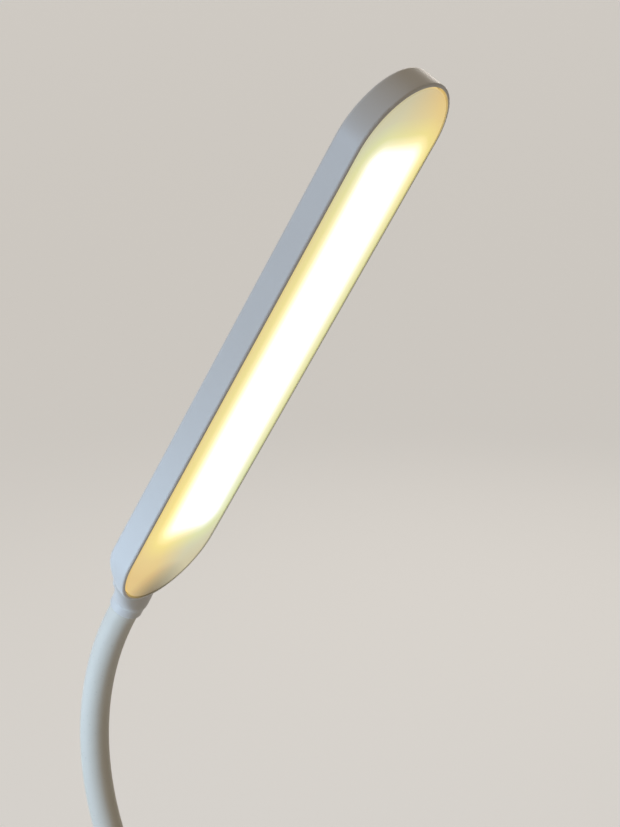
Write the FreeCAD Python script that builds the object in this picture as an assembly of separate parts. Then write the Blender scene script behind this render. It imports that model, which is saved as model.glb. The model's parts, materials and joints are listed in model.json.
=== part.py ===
import FreeCAD
import Part

import math
import os

V = FreeCAD.Vector
X_AXIS = V(1, 0, 0)
Y_AXIS = V(0, 1, 0)
Z_AXIS = V(0, 0, 1)

# Lengths are millimetres, angles are degrees

# Clearances shared by the pieces that meet
FIT = 0.1
LOOSE = 0.3
THREAD_FIT = 0.05
OVERRUN = 1.0
SAME_LEVEL = 0.0001
EASE_SHARE = 0.45

# Flexible neck: route from the base up to the head
NECK_RISE = 14.0
LOWER_BEND_RADIUS = 105.0
LEAN_BACK = 30.0
NECK_STRAIGHT = 62.0
UPPER_BEND_RADIUS = 105.0
HEAD_LEAN = 32.1
NECK_TIP = 1.8

# Flexible neck: sleeve, wound core and lead
SLEEVE_DIAMETER = 11.0
SLEEVE_WALL = 1.1
CORE_WALL = 1.5
LEAD_DIAMETER = 2.8
PIVOT_COUNT = 9
SEAM_BULGE = 0.3
SEAM_GAP = 0.25
SPIGOT_LENGTH = 6.0

# Head: diffuser panel
DIFFUSER_LENGTH = 220.0
DIFFUSER_WIDTH = 44.0
DIFFUSER_DEPTH = 3.2
DIFFUSER_FACE = 1.6
DIFFUSER_SKIRT = 1.2
DIFFUSER_EDGE = 0.5

# Head: housing, its back more rounded toward the neck
HEAD_DEPTH = 9.8
GROOVE = 0.65
RIM_WALL = 1.2
RIM_EDGE = 0.8
LEDGE = 1.6
BACK_WALL = 1.5
BACK_EDGE = 1.2
FLOOR_EDGE = 0.8
NECK_END_SHARE = 0.8
NECK_END_SPREAD = 40.0

# Head: neck of the housing, a round cuff that flares into the rounded end
STUB_LENGTH = 10.6
STUB_AXIS_DROP = 0.7
STUB_PLACE_SHARES = (-0.22, 0.11, 0.35, 0.54, 1.0)
STUB_WIDTH_SHARES = (1.5, 1.82, 2.14, 2.44, 2.92)
STUB_DEPTH_SHARES = (1.18, 1.08, 1.02, 0.95, 0.75)
STUB_DROP_SHARES = (0.005, 0.04, 0.05, 0.04, 0.01)
CUFF_RISE = 0.8
CUFF_LENGTH = 3.8
CUFF_EDGE = 0.9
HEAD_FERRULE_DIAMETER = 7.0
SET_SCREW_DIAMETER = 2.4
SET_SCREW_INSET = 2.2
SET_SCREW_SOCKET = 1.2
SET_SCREW_SOCKET_DEPTH = 0.9
SET_SCREW_TURNS = (90.0, 180.0)

# Head: light engine
LED_BOARD_END_GAP = 6.9
LED_BOARD_BORDER = 2.5
LED_BOARD_THICKNESS = 1.2
LED_BOARD_RISE = 1.5
LED_BOSS_DIAMETER = 5.0
LED_BOSS_INSET = 4.0
LED_COLUMNS = 14
LED_ROWS = 2
LED_END_GAP = 5.0
LED_SIDE_GAP = 2.1
LED_ROW_SPACING = 7.0
LED_LENGTH = 3.5
LED_WIDTH = 2.8
LED_HEIGHT = 0.7
REFLECTOR_END_GAP = 7.0
REFLECTOR_SIDE_GAP = 0.9
REFLECTOR_SHEET = 0.8
REFLECTOR_END_BORDER = 5.0
REFLECTOR_SIDE_BORDER = 6.0
REFLECTOR_END_SLOPE = 3.0
LED_LEAD_DIAMETER = 1.1
LED_LEAD_SPREAD = 7.0
LED_LEAD_RUN = 2.5
LEAD_TAIL = 2.0

# Base: shell, cover and weight, stacked from the table up
BASE_DIAMETER = 124.0
BASE_WALL = 2.2
BASE_TOP_EDGE = 6.0
BASE_FOOT_EDGE = 0.8
BASE_HEADROOM = 4.3
PAD_DIAMETER = 92.0
PAD_THICKNESS = 1.2
COVER_THICKNESS = 2.0
BALLAST_THICKNESS = 5.0
BALLAST_MARGIN = 4.8
BALLAST_SCREW_COUNT = 3
BALLAST_SCREW_CIRCLE = 60.0
BALLAST_SCREW_DIAMETER = 3.0
BALLAST_SCREW_REACH = 3.5
COVER_SCREW_COUNT = 4
COVER_SCREW_DIAMETER = 2.5
COVER_SCREW_REACH = 7.0
COVER_BOSS_DIAMETER = 7.0
COVER_BOSS_INSET = 6.5
CROSS_ARM_SHARE = 0.6
CROSS_WIDTH_SHARE = 0.2
CROSS_DEPTH_SHARE = 0.6
COUNTERSINK_SHARE = 2.2

# Base: foot of the neck
SOCKET_INSET = 24.0
COLLAR_WALL = 4.0
COLLAR_HEIGHT = 8.0
COLLAR_EDGE = 1.6
FLANGE_RIM = 2.0
FLANGE_THICKNESS = 1.5
THREAD_DIAMETER = 10.0
THREAD_END = 0.5
WASHER_DIAMETER = 18.0
WASHER_THICKNESS = 1.0
WASHER_NOTCHES = 12
WASHER_NOTCH = 1.2
NUT_FLATS = 14.0
NUT_HEIGHT = 4.5

# Base: battery
BATTERY_WIDTH = 50.0
BATTERY_GAP = 8.0
BATTERY_HEIGHT = 7.0
BATTERY_EDGE = 2.0
BATTERY_PAD_MARGIN = 2.0
BATTERY_PAD_THICKNESS = 0.5
BATTERY_LEAD_DIAMETER = 1.3
BATTERY_LEAD_SPACING = 16.0

# Base: board screws
BOARD_SCREW_DIAMETER = 2.0
BOARD_SCREW_HEAD = 4.0
BOARD_SCREW_HEAD_HEIGHT = 1.4
BOARD_SCREW_REACH = 3.5
BOARD_POST_DIAMETER = 5.0
LED_SCREW_HEAD_HEIGHT = 0.8
LED_SCREW_REACH = 2.2

# Base: charge board and its socket
CHARGE_BOARD_WIDTH = 22.0
CHARGE_BOARD_DEPTH = 15.5
CHARGE_BOARD_THICKNESS = 1.2
CHARGE_BOARD_MARGIN = 2.8
CHARGE_POST_INSET = 5.5
CHARGE_POST_SPACING = 16.5
USB_WIDTH = 8.94
USB_HEIGHT = 3.26
USB_LENGTH = 7.35
USB_WALL = 0.3
USB_RECESS = 1.0
USB_TONGUE_WIDTH = 6.7
USB_TONGUE_HEIGHT = 0.7
USB_TONGUE_LENGTH = 4.5
CHIP_SIZE = 3.6
CHIP_HEIGHT = 1.0
CHIP_GAP = 0.8
DRIVER_LEAD_DIAMETER = 1.1
DRIVER_LEAD_RUN = 6.0

# Base: control board, switch and button
BUTTON_INSET = 25.0
BUTTON_DIAMETER = 16.0
BUTTON_CLEARANCE = 0.2
BUTTON_PROUD = 0.8
BUTTON_EDGE = 0.5
BUTTON_LIP = 1.2
BUTTON_LIP_THICKNESS = 1.2
BUTTON_STEM_DIAMETER = 4.0
BUTTON_STEM_LENGTH = 1.8
BUTTON_DISH_DEPTH = 0.4
BUTTON_DISH_SHARE = 0.8
SWITCH_SIZE = 6.0
SWITCH_HEIGHT = 3.4
PLUNGER_DIAMETER = 3.2
PLUNGER_RISE = 1.2
PLUNGER_SINK = 1.0
PLUNGER_WELL = 2.2
CONTROL_BOARD_WIDTH = 46.0
CONTROL_BOARD_FRONT = 12.0
CONTROL_BOARD_REAR = 3.4
CONTROL_BOARD_THICKNESS = 1.6
CONTROL_POST_SPACING = 37.0
LENS_GAP = 1.2
LENS_DIAMETER = 2.4
LENS_FLANGE_DIAMETER = 4.0
LENS_FLANGE_THICKNESS = 1.0
LENS_LED_HEIGHT = 0.8
LENS_LED_SIZE = 1.6
COIL_SIZE = 6.0
COIL_HEIGHT = 3.0
CAPACITOR_DIAMETER = 5.0
CAPACITOR_HEIGHT = 5.0
PARTS_SPREAD = 11.0
PARTS_SET_BACK = 5.0
CONTROL_CABLE_DIAMETER = 2.2
CONTROL_CABLE_MARGIN = 3.0
CONTROL_CABLE_TAIL = 4.0
CONTROL_CABLE_SPREAD = 17.0

# Radii that follow from the sizes above
SLEEVE_R = SLEEVE_DIAMETER / 2
SLEEVE_BORE_R = SLEEVE_R - SLEEVE_WALL
CORE_R = SLEEVE_BORE_R - FIT
CORE_BORE_R = CORE_R - CORE_WALL
SPIGOT_R = CORE_BORE_R - FIT
LEAD_R = LEAD_DIAMETER / 2
LEAD_WAY_R = LEAD_R + LOOSE
SEAM_R = SLEEVE_R + SEAM_BULGE
CUFF_R = SLEEVE_R + CUFF_RISE
COLLAR_R = SLEEVE_R + COLLAR_WALL
BASE_R = BASE_DIAMETER / 2
CAVITY_R = BASE_R - BASE_WALL
COVER_BOSS_R = COVER_BOSS_DIAMETER / 2
COVER_SCREW_CIRCLE_R = CAVITY_R - COVER_BOSS_INSET
BALLAST_R = COVER_SCREW_CIRCLE_R - COVER_BOSS_R - BALLAST_MARGIN
BALLAST_SCREW_CIRCLE_R = BALLAST_SCREW_CIRCLE / 2
THREAD_R = THREAD_DIAMETER / 2
FLANGE_R = SLEEVE_R + FLANGE_RIM
WASHER_R = WASHER_DIAMETER / 2
BUTTON_R = BUTTON_DIAMETER / 2
BUTTON_LIP_R = BUTTON_R + BUTTON_LIP
LENS_FLANGE_R = LENS_FLANGE_DIAMETER / 2
BOARD_SCREW_R = BOARD_SCREW_DIAMETER / 2
BOARD_POST_R = BOARD_POST_DIAMETER / 2

# Levels in the base
COVER_TOP = PAD_THICKNESS + COVER_THICKNESS
BALLAST_TOP = COVER_TOP + BALLAST_THICKNESS
BATTERY_LOW = BALLAST_TOP + BATTERY_PAD_THICKNESS
BATTERY_TOP = BATTERY_LOW + BATTERY_HEIGHT
CEILING = BATTERY_TOP + BASE_HEADROOM
BASE_TOP = CEILING + BASE_WALL
FLANGE_TOP = BASE_TOP + FLANGE_THICKNESS
WASHER_LOW = CEILING - WASHER_THICKNESS
NUT_LOW = WASHER_LOW - NUT_HEIGHT
THREAD_LOW = NUT_LOW - THREAD_END
BUTTON_LIP_TOP = CEILING - BUTTON_CLEARANCE
BUTTON_LIP_LOW = BUTTON_LIP_TOP - BUTTON_LIP_THICKNESS
BUTTON_STEM_LOW = BUTTON_LIP_LOW - BUTTON_STEM_LENGTH
SWITCH_TOP = BUTTON_STEM_LOW - PLUNGER_RISE
CONTROL_TOP = SWITCH_TOP - SWITCH_HEIGHT
CONTROL_LOW = CONTROL_TOP - CONTROL_BOARD_THICKNESS
CHARGE_LOW = BALLAST_TOP + BOARD_SCREW_HEAD_HEIGHT + LOOSE
CHARGE_TOP = CHARGE_LOW + CHARGE_BOARD_THICKNESS
USB_MID = CHARGE_TOP + USB_HEIGHT / 2

# Places in the base, front is -Y
SOCKET_Y = BASE_R - SOCKET_INSET
BUTTON_Y = BUTTON_INSET - BASE_R
USB_MOUTH_Y = BASE_R - USB_RECESS
USB_BACK_Y = USB_MOUTH_Y - USB_LENGTH
CHARGE_REAR_Y = CAVITY_R - CHARGE_BOARD_MARGIN
CHARGE_FRONT_Y = CHARGE_REAR_Y - CHARGE_BOARD_DEPTH
CHARGE_MID_Y = CHARGE_REAR_Y - CHARGE_BOARD_DEPTH / 2
CHARGE_POST_Y = CHARGE_FRONT_Y + CHARGE_POST_INSET
CHARGE_POST_X = CHARGE_POST_SPACING / 2
CONTROL_POST_X = CONTROL_POST_SPACING / 2
LENS_Y = BUTTON_Y + BUTTON_LIP_R + LENS_GAP + LENS_FLANGE_R
CONTROL_FRONT_Y = BUTTON_Y - CONTROL_BOARD_FRONT
CONTROL_REAR_Y = LENS_Y + CONTROL_BOARD_REAR
CONTROL_MID_Y = (CONTROL_FRONT_Y + CONTROL_REAR_Y) / 2
BATTERY_FRONT_Y = CONTROL_REAR_Y + BATTERY_GAP
BATTERY_REAR_Y = SOCKET_Y - WASHER_R - BATTERY_GAP
BATTERY_MID_Y = (BATTERY_FRONT_Y + BATTERY_REAR_Y) / 2
BATTERY_DEPTH = BATTERY_REAR_Y - BATTERY_FRONT_Y

# Levels in the head, measured down from the diffuser's face
BACK_Z = -HEAD_DEPTH
FLOOR_Z = BACK_Z + BACK_WALL
LEDGE_Z = -DIFFUSER_DEPTH
LED_BOARD_LOW = FLOOR_Z + LED_BOARD_RISE
LED_BOARD_TOP = LED_BOARD_LOW + LED_BOARD_THICKNESS
REFLECTOR_LOW = LEDGE_Z - REFLECTOR_SHEET
STUB_AXIS_DEPTH = HEAD_DEPTH / 2 + STUB_AXIS_DROP
NECK_END_EDGE = NECK_END_SHARE * HEAD_DEPTH
FLOOR_END_EDGE = NECK_END_EDGE - RIM_WALL - LEDGE

# Outlines in the head
WELL_LENGTH = DIFFUSER_LENGTH + 2 * GROOVE
WELL_WIDTH = DIFFUSER_WIDTH + 2 * GROOVE
HEAD_LENGTH = WELL_LENGTH + 2 * RIM_WALL
HEAD_WIDTH = WELL_WIDTH + 2 * RIM_WALL
CAVITY_LENGTH = WELL_LENGTH - 2 * LEDGE
CAVITY_WIDTH = WELL_WIDTH - 2 * LEDGE
LED_BOARD_LENGTH = CAVITY_LENGTH - 2 * LED_BOARD_END_GAP
REFLECTOR_LENGTH = LED_BOARD_LENGTH - 2 * REFLECTOR_END_GAP
REFLECTOR_WIDTH = CAVITY_WIDTH - 2 * REFLECTOR_SIDE_GAP
REFLECTOR_WINDOW_LENGTH = REFLECTOR_LENGTH - 2 * REFLECTOR_END_BORDER
REFLECTOR_WINDOW_WIDTH = REFLECTOR_WIDTH - 2 * REFLECTOR_SIDE_BORDER
REFLECTOR_FOOT_LENGTH = REFLECTOR_WINDOW_LENGTH - 2 * REFLECTOR_END_SLOPE
REFLECTOR_FOOT_WIDTH = (LED_ROWS - 1) * LED_ROW_SPACING + LED_WIDTH + 2 * LED_SIDE_GAP
LED_BOARD_WIDTH = REFLECTOR_FOOT_WIDTH + 2 * LED_BOARD_BORDER
LED_FIELD_LENGTH = REFLECTOR_FOOT_LENGTH - 2 * LED_END_GAP
HEAD_END_X = -HEAD_LENGTH / 2
STUB_END_X = HEAD_END_X - STUB_LENGTH
CUFF_END_X = STUB_END_X + CUFF_LENGTH
CAVITY_END_X = -CAVITY_LENGTH / 2
LEAD_END_X = CAVITY_END_X + LEAD_TAIL
HEAD_FERRULE_R = HEAD_FERRULE_DIAMETER / 2
LED_BOSS_X = LED_BOARD_LENGTH / 2 - LED_BOSS_INSET


class NeckRoute:
    """Centreline of the neck in the lamp's middle plane, measured from the sleeve's lower end."""

    def __init__(self, below, beyond):
        self.stretches = []
        self.reach = -below
        self.point = V(0, SOCKET_Y, FLANGE_TOP - below)
        self.lean = 0.0
        lower_turn = math.radians(LEAN_BACK)
        upper_turn = math.radians(LEAN_BACK + HEAD_LEAN)
        self.add(below + NECK_RISE, 0)
        self.add(LOWER_BEND_RADIUS * lower_turn, -lower_turn)
        self.add(NECK_STRAIGHT, 0)
        self.add(UPPER_BEND_RADIUS * upper_turn, upper_turn)
        self.add(NECK_TIP, 0)
        self.length = self.reach
        self.add(beyond, 0)

    def add(self, length, turn):
        self.stretches.append((self.reach, length, self.point, self.lean, turn))
        self.point = self.step(self.stretches[-1], length)
        self.reach = self.reach + length
        self.lean = self.lean + turn

    def step(self, stretch, distance):
        """Point at a distance along one stretch."""
        reach, length, point, lean, turn = stretch
        if turn == 0:
            return point + forward_lean(lean) * distance
        radius = length / turn
        now = lean + distance / radius
        return point + V(0, math.cos(now) - math.cos(lean), math.sin(now) - math.sin(lean)) * radius

    def stretch_at(self, s):
        found = self.stretches[0]
        for stretch in self.stretches:
            if s >= stretch[0]:
                found = stretch
        return found

    def at(self, s):
        stretch = self.stretch_at(s)
        return self.step(stretch, s - stretch[0])

    def lean_at(self, s):
        reach, length, point, lean, turn = self.stretch_at(s)
        return lean + turn * (s - reach) / length

    def rod(self, radius, start, end):
        """Round solid bar along the route between two distances."""
        pieces = []
        for stretch in self.stretches:
            low = max(start, stretch[0])
            high = min(end, stretch[0] + stretch[1])
            if high > low:
                pieces.append(self.bar(stretch, radius, low, high))
        if len(pieces) == 1:
            return pieces[0]
        return pieces[0].multiFuse(pieces[1:]).Solids[0]

    def bar(self, stretch, radius, low, high):
        """Straight bar or bent bar inside one stretch."""
        reach, length, point, lean, turn = stretch
        foot = self.step(stretch, low - reach)
        lean_low = lean + turn * (low - reach) / length
        heading = forward_lean(lean_low)
        if turn == 0:
            return Part.makeCylinder(radius, high - low, foot, heading)
        bend = length / turn
        centre = foot - V(0, math.cos(lean_low), math.sin(lean_low)) * bend
        disc = Part.Face(Part.Wire(Part.makeCircle(radius, foot, heading)))
        axis = X_AXIS * math.copysign(1, turn)
        return disc.revolve(centre, axis, math.degrees((high - low) / abs(bend)))


def forward_lean(lean):
    """Unit vector in the middle plane that leans forward from upright."""
    return V(0, -math.sin(lean), math.cos(lean))


NECK = NeckRoute(FLANGE_TOP, HEAD_LENGTH / 2)
PIVOT_PITCH = NECK.length / PIVOT_COUNT


def pivot(number):
    """Distance of a pivot along the neck, numbered from the base."""
    return (number - 1 / 2) * PIVOT_PITCH


def cylinder(radius, low, high, x=0, y=0):
    return Part.makeCylinder(radius, high - low, V(x, y, low))


def ring(outer, inner, low, high, x=0, y=0):
    hole = cylinder(inner, low - OVERRUN, high + OVERRUN, x, y)
    return cylinder(outer, low, high, x, y).cut(hole)


def block(x, y, width, depth, low, high):
    corner = V(x - width / 2, y - depth / 2, low)
    return Part.makeBox(width, depth, high - low, corner)


def stadium(length, width, low, high):
    """Solid with straight sides and half-round ends, long along X."""
    radius = width / 2
    tip = length / 2
    flank = tip - radius
    corners = [V(-flank, -radius, low), V(flank, -radius, low), V(flank, radius, low), V(-flank, radius, low)]
    edges = [
        Part.makeLine(corners[0], corners[1]),
        Part.Arc(corners[1], V(tip, 0, low), corners[2]).toShape(),
        Part.makeLine(corners[2], corners[3]),
        Part.Arc(corners[3], V(-tip, 0, low), corners[0]).toShape(),
    ]
    return Part.Face(Part.Wire(edges)).extrude(Z_AXIS * (high - low))


def prism(sides, flats, low, high, x=0, y=0):
    """Regular prism given across its flats."""
    reach = flats / 2 / math.cos(math.pi / sides)
    turns = [2 * math.pi * n / sides for n in range(sides + 1)]
    corners = [V(x + reach * math.cos(t), y + reach * math.sin(t), low) for t in turns]
    return Part.Face(Part.makePolygon(corners)).extrude(Z_AXIS * (high - low))


def edges_at(shape, level):
    """Edges that lie flat at one level."""
    found = []
    for edge in shape.Edges:
        box = edge.BoundBox
        if abs(box.ZMin - level) < SAME_LEVEL and abs(box.ZMax - level) < SAME_LEVEL:
            found.append(edge)
    return found


def rounded(shape, radius, level):
    return shape.makeFillet(radius, edges_at(shape, level))


def graded(shape, level, edge, end_edge, end_x):
    """Rounds the edges at a level with one radius, which changes along them to another past a place on X."""
    flat = edges_at(shape, level)
    rows = []
    for number, line in enumerate(shape.Edges, 1):
        if any(line.isSame(other) for other in flat):
            ends = (line.firstVertex(True).Point.x, line.lastVertex(True).Point.x)
            rows.append((number, *[end_edge if x < end_x + SAME_LEVEL else edge for x in ends]))
    document = FreeCAD.newDocument()
    blank = document.addObject("Part::Feature", "Blank")
    blank.Shape = shape
    rounding = document.addObject("Part::Fillet", "Rounding")
    rounding.Base = blank
    rounding.Edges = rows
    document.recompute()
    result = rounding.Shape.copy()
    FreeCAD.closeDocument(document.Name)
    return result


def fused(shapes):
    return shapes[0].multiFuse(shapes[1:])


def circle_points(count, radius, first=0.0):
    turns = [first + 2 * math.pi * n / count for n in range(count)]
    return [(radius * math.cos(t), radius * math.sin(t)) for t in turns]


def lead(points, diameter):
    """Round wire whose corners are eased by the largest arcs that its runs allow."""
    radius = diameter / 2
    edges = []
    start = points[0]
    for before, corner, after in zip(points, points[1:], points[2:]):
        arrive = corner - before
        leave = after - corner
        ease = EASE_SHARE * min(arrive.Length, leave.Length)
        half = arrive.getAngle(leave) / 2
        arrive.normalize()
        leave.normalize()
        inward = (leave - arrive).normalize()
        bend = ease / math.tan(half)
        first = corner - arrive * ease
        last = corner + leave * ease
        middle = corner + inward * (bend / math.cos(half) - bend)
        edges.append(Part.makeLine(start, first))
        edges.append(Part.Arc(first, middle, last).toShape())
        start = last
    edges.append(Part.makeLine(start, points[-1]))
    profile = Part.Wire(Part.makeCircle(radius, points[0], points[1] - points[0]))
    return Part.Wire(edges).makePipeShell([profile], True, False)


def cross_recess(radius, top, depth):
    """Cross-shaped driver recess, open at the top level."""
    arm = 2 * CROSS_ARM_SHARE * radius
    slot = 2 * CROSS_WIDTH_SHARE * radius
    along = block(0, 0, arm, slot, top - depth, top + OVERRUN)
    across = block(0, 0, slot, arm, top - depth, top + OVERRUN)
    return along.fuse(across)


def pan_screw(shank_radius, head_radius, head_height, reach):
    """Pan head on level zero with its shank below."""
    shank = cylinder(shank_radius, -reach, 0)
    head = cylinder(head_radius, 0, head_height)
    return shank.fuse(head).cut(cross_recess(head_radius, head_height, CROSS_DEPTH_SHARE * head_height))


def sunk_screw(shank_radius, reach):
    """Countersunk screw with its flat head at level zero and its shank below."""
    head_radius = COUNTERSINK_SHARE * shank_radius
    cone = head_radius - shank_radius
    head = Part.makeCone(shank_radius, head_radius, cone, V(0, 0, -cone))
    shank = cylinder(shank_radius, -reach, -cone)
    return head.fuse(shank).cut(cross_recess(head_radius, 0, CROSS_DEPTH_SHARE * cone))


def sunk_hole(shank_radius, reach):
    """Room for a countersunk screw, a thread fit wider all round."""
    hole_radius = shank_radius + THREAD_FIT
    head_radius = COUNTERSINK_SHARE * shank_radius + THREAD_FIT
    cone = head_radius - hole_radius
    head = Part.makeCone(hole_radius, head_radius, cone, V(0, 0, -cone))
    mouth = cylinder(head_radius, 0, OVERRUN)
    return fused([head, mouth, cylinder(hole_radius, -reach, 0)])


def upside_down(shape, x, y, level):
    """Turns a piece made downward from level zero to point upward from a level."""
    turned = shape.copy()
    turned.rotate(V(0, 0, 0), X_AXIS, 180)
    turned.translate(V(x, y, level))
    return turned


def upright(shape, x, y, level):
    placed = shape.copy()
    placed.translate(V(x, y, level))
    return placed


def to_head(shape):
    """Carries a piece from the head's own axes to its place on the neck."""
    lean = NECK.lean_at(NECK.length)
    along = forward_lean(lean)
    face = V(0, -math.cos(lean), -math.sin(lean))
    side = face.cross(along)
    place = NECK.at(NECK.length) - along * STUB_END_X + face * STUB_AXIS_DEPTH
    matrix = FreeCAD.Matrix(
        along.x, side.x, face.x, place.x,
        along.y, side.y, face.y, place.y,
        along.z, side.z, face.z, place.z,
        0, 0, 0, 1)
    return shape.transformed(matrix, True)


def along_stub(radius, start, end):
    """Round bar on the axis of the housing's neck, in the head's axes."""
    return Part.makeCylinder(radius, end - start, V(start, 0, -STUB_AXIS_DEPTH), X_AXIS)


# Flexible neck

def neck_length(number, outer, inner):
    """One length of tube between two pivots: a cup at its lower end, a dome at its upper end."""
    first = number == 0
    last = number == PIVOT_COUNT
    start = 0 if first else pivot(number)
    end = NECK.length if last else pivot(number + 1) + SEAM_R
    tube = NECK.rod(outer, start, end)
    tube = tube.cut(NECK.rod(inner, start - OVERRUN, end + OVERRUN))
    if not first:
        tube = tube.cut(seam_ball(start, SEAM_R + SEAM_GAP))
    if not last:
        tube = tube.cut(beyond_dome(pivot(number + 1), outer))
    return tube


def seam_ball(s, radius):
    """Ball on a pivot, its poles out to the sides where the tube never reaches them."""
    return Part.makeSphere(radius, NECK.at(s), X_AXIS)


def beyond_dome(s, outer):
    """Everything past a pivot that lies outside the dome on it."""
    heading = forward_lean(NECK.lean_at(s))
    past = Part.makeCylinder(outer + OVERRUN, SEAM_R + OVERRUN, NECK.at(s), heading)
    return past.cut(seam_ball(s, SEAM_R))


def neck_sleeve(number):
    return neck_length(number, SLEEVE_R, SLEEVE_BORE_R)


def neck_core(number):
    return neck_length(number, CORE_R, CORE_BORE_R)


def lead_cable():
    end = NECK.length + LEAD_END_X - STUB_END_X
    start = THREAD_LOW - FLANGE_TOP - LOOSE
    return NECK.rod(LEAD_R, start, end)


# Head, in its own axes: X along it, Z out of the light

def diffuser():
    panel = stadium(DIFFUSER_LENGTH, DIFFUSER_WIDTH, LEDGE_Z, 0)
    panel = rounded(panel, DIFFUSER_EDGE, 0)
    inner_length = DIFFUSER_LENGTH - 2 * DIFFUSER_SKIRT
    inner_width = DIFFUSER_WIDTH - 2 * DIFFUSER_SKIRT
    return panel.cut(stadium(inner_length, inner_width, LEDGE_Z - OVERRUN, -DIFFUSER_FACE))


def head_blank(inset, low, high, edge, end_edge):
    """Solid set in from the head's outline, its lower edge rounded and more so round the neck end."""
    radius = HEAD_WIDTH / 2 - inset
    centre = HEAD_LENGTH / 2 - HEAD_WIDTH / 2
    spread = math.radians(NECK_END_SPREAD)
    turns = [0, spread / 2, spread, math.pi / 2, math.pi - spread, math.pi - spread / 2, math.pi]
    end = [V(-centre - radius * math.sin(t), radius * math.cos(t), low) for t in turns]
    tip = [V(centre, -radius, low), V(centre + radius, 0, low), V(centre, radius, low)]
    edges = [
        Part.Arc(*end[0:3]).toShape(),
        Part.Arc(*end[2:5]).toShape(),
        Part.Arc(*end[4:7]).toShape(),
        Part.makeLine(end[6], tip[0]),
        Part.Arc(*tip).toShape(),
        Part.makeLine(tip[2], end[0]),
    ]
    blank = Part.Face(Part.Wire(edges)).extrude(Z_AXIS * (high - low))
    return graded(blank, low, edge, end_edge, end[2].x)


def stub_section(width, depth, drop, x):
    """Oval section across the housing's neck, dropped toward the back from the neck's axis."""
    if width > depth:
        curve = Part.Ellipse(V(0, 0, 0), width / 2, depth / 2)
    else:
        curve = Part.Circle(V(0, 0, 0), Z_AXIS, width / 2)
    section = Part.Wire(curve.toShape())
    matrix = FreeCAD.Matrix(
        0, 0, 1, x,
        1, 0, 0, 0,
        0, 1, 0, -STUB_AXIS_DEPTH - drop,
        0, 0, 0, 1)
    return section.transformed(matrix, True)


def housing_stub():
    """Neck of the housing: a round cuff that flares into the rounded end."""
    sections = [stub_section(2 * CUFF_R, 2 * CUFF_R, 0, CUFF_END_X)]
    shares = zip(STUB_PLACE_SHARES, STUB_WIDTH_SHARES, STUB_DEPTH_SHARES, STUB_DROP_SHARES)
    for place, width, depth, drop in shares:
        x = HEAD_END_X + place * STUB_LENGTH
        sections.append(stub_section(2 * CUFF_R * width, HEAD_DEPTH * depth, HEAD_DEPTH * drop, x))
    flare = Part.makeLoft(sections, True)
    cuff = along_stub(CUFF_R, STUB_END_X, CUFF_END_X)
    end_edges = [e for e in cuff.Edges if e.Closed and e.BoundBox.XMax < CUFF_END_X - SAME_LEVEL]
    return flare.fuse(cuff.makeFillet(CUFF_EDGE, end_edges))


def round_stub(shape):
    """Copies of a piece that points up from level zero, turned about the stub to each set screw's place."""
    copies = []
    for turn in SET_SCREW_TURNS:
        turned = shape.copy()
        turned.rotate(V(0, 0, 0), X_AXIS, turn)
        turned.translate(V(STUB_END_X + SET_SCREW_INSET, 0, -STUB_AXIS_DEPTH))
        copies.append(turned)
    return copies


def head_housing():
    shell = head_blank(0, BACK_Z, 0, BACK_EDGE, NECK_END_EDGE)
    shell = rounded(shell, RIM_EDGE, 0)
    shell = shell.fuse(housing_stub())
    shell = shell.cut(stadium(WELL_LENGTH, WELL_WIDTH, LEDGE_Z, OVERRUN))
    shell = shell.cut(head_blank(RIM_WALL + LEDGE, FLOOR_Z, LEDGE_Z + OVERRUN, FLOOR_EDGE, FLOOR_END_EDGE))
    bosses = []
    pilots = round_stub(cylinder(SET_SCREW_DIAMETER / 2 + THREAD_FIT, 0, CUFF_R + OVERRUN))
    pilots.append(along_stub(HEAD_FERRULE_R + FIT, STUB_END_X - OVERRUN, HEAD_END_X))
    pilots.append(along_stub(LEAD_WAY_R, STUB_END_X, LEAD_END_X))
    for x in (-LED_BOSS_X, LED_BOSS_X):
        bosses.append(cylinder(LED_BOSS_DIAMETER / 2, FLOOR_Z - BACK_WALL / 2, LED_BOARD_LOW, x))
        pilot_low = LED_BOARD_LOW - LED_SCREW_REACH
        pilots.append(cylinder(BOARD_SCREW_R + THREAD_FIT, pilot_low, LED_BOARD_LOW + OVERRUN, x))
    return fused([shell] + bosses).cut(fused(pilots))


def led_board():
    board = block(0, 0, LED_BOARD_LENGTH, LED_BOARD_WIDTH, LED_BOARD_LOW, LED_BOARD_TOP)
    for x in (-LED_BOSS_X, LED_BOSS_X):
        board = board.cut(cylinder(BOARD_SCREW_R + FIT, LED_BOARD_LOW - OVERRUN, LED_BOARD_TOP + OVERRUN, x))
    return board


def led_board_screws():
    reach = LED_SCREW_REACH + LED_BOARD_THICKNESS
    screw = pan_screw(BOARD_SCREW_R, BOARD_SCREW_HEAD / 2, LED_SCREW_HEAD_HEIGHT, reach)
    return Part.makeCompound([upright(screw, x, 0, LED_BOARD_TOP) for x in (-LED_BOSS_X, LED_BOSS_X)])


def led_chips():
    chips = []
    pitch = LED_FIELD_LENGTH / (LED_COLUMNS - 1)
    for column in range(LED_COLUMNS):
        for row in range(LED_ROWS):
            x = column * pitch - LED_FIELD_LENGTH / 2
            y = (row - (LED_ROWS - 1) / 2) * LED_ROW_SPACING
            chips.append(block(x, y, LED_LENGTH, LED_WIDTH, LED_BOARD_TOP, LED_BOARD_TOP + LED_HEIGHT))
    return Part.makeCompound(chips)


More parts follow.
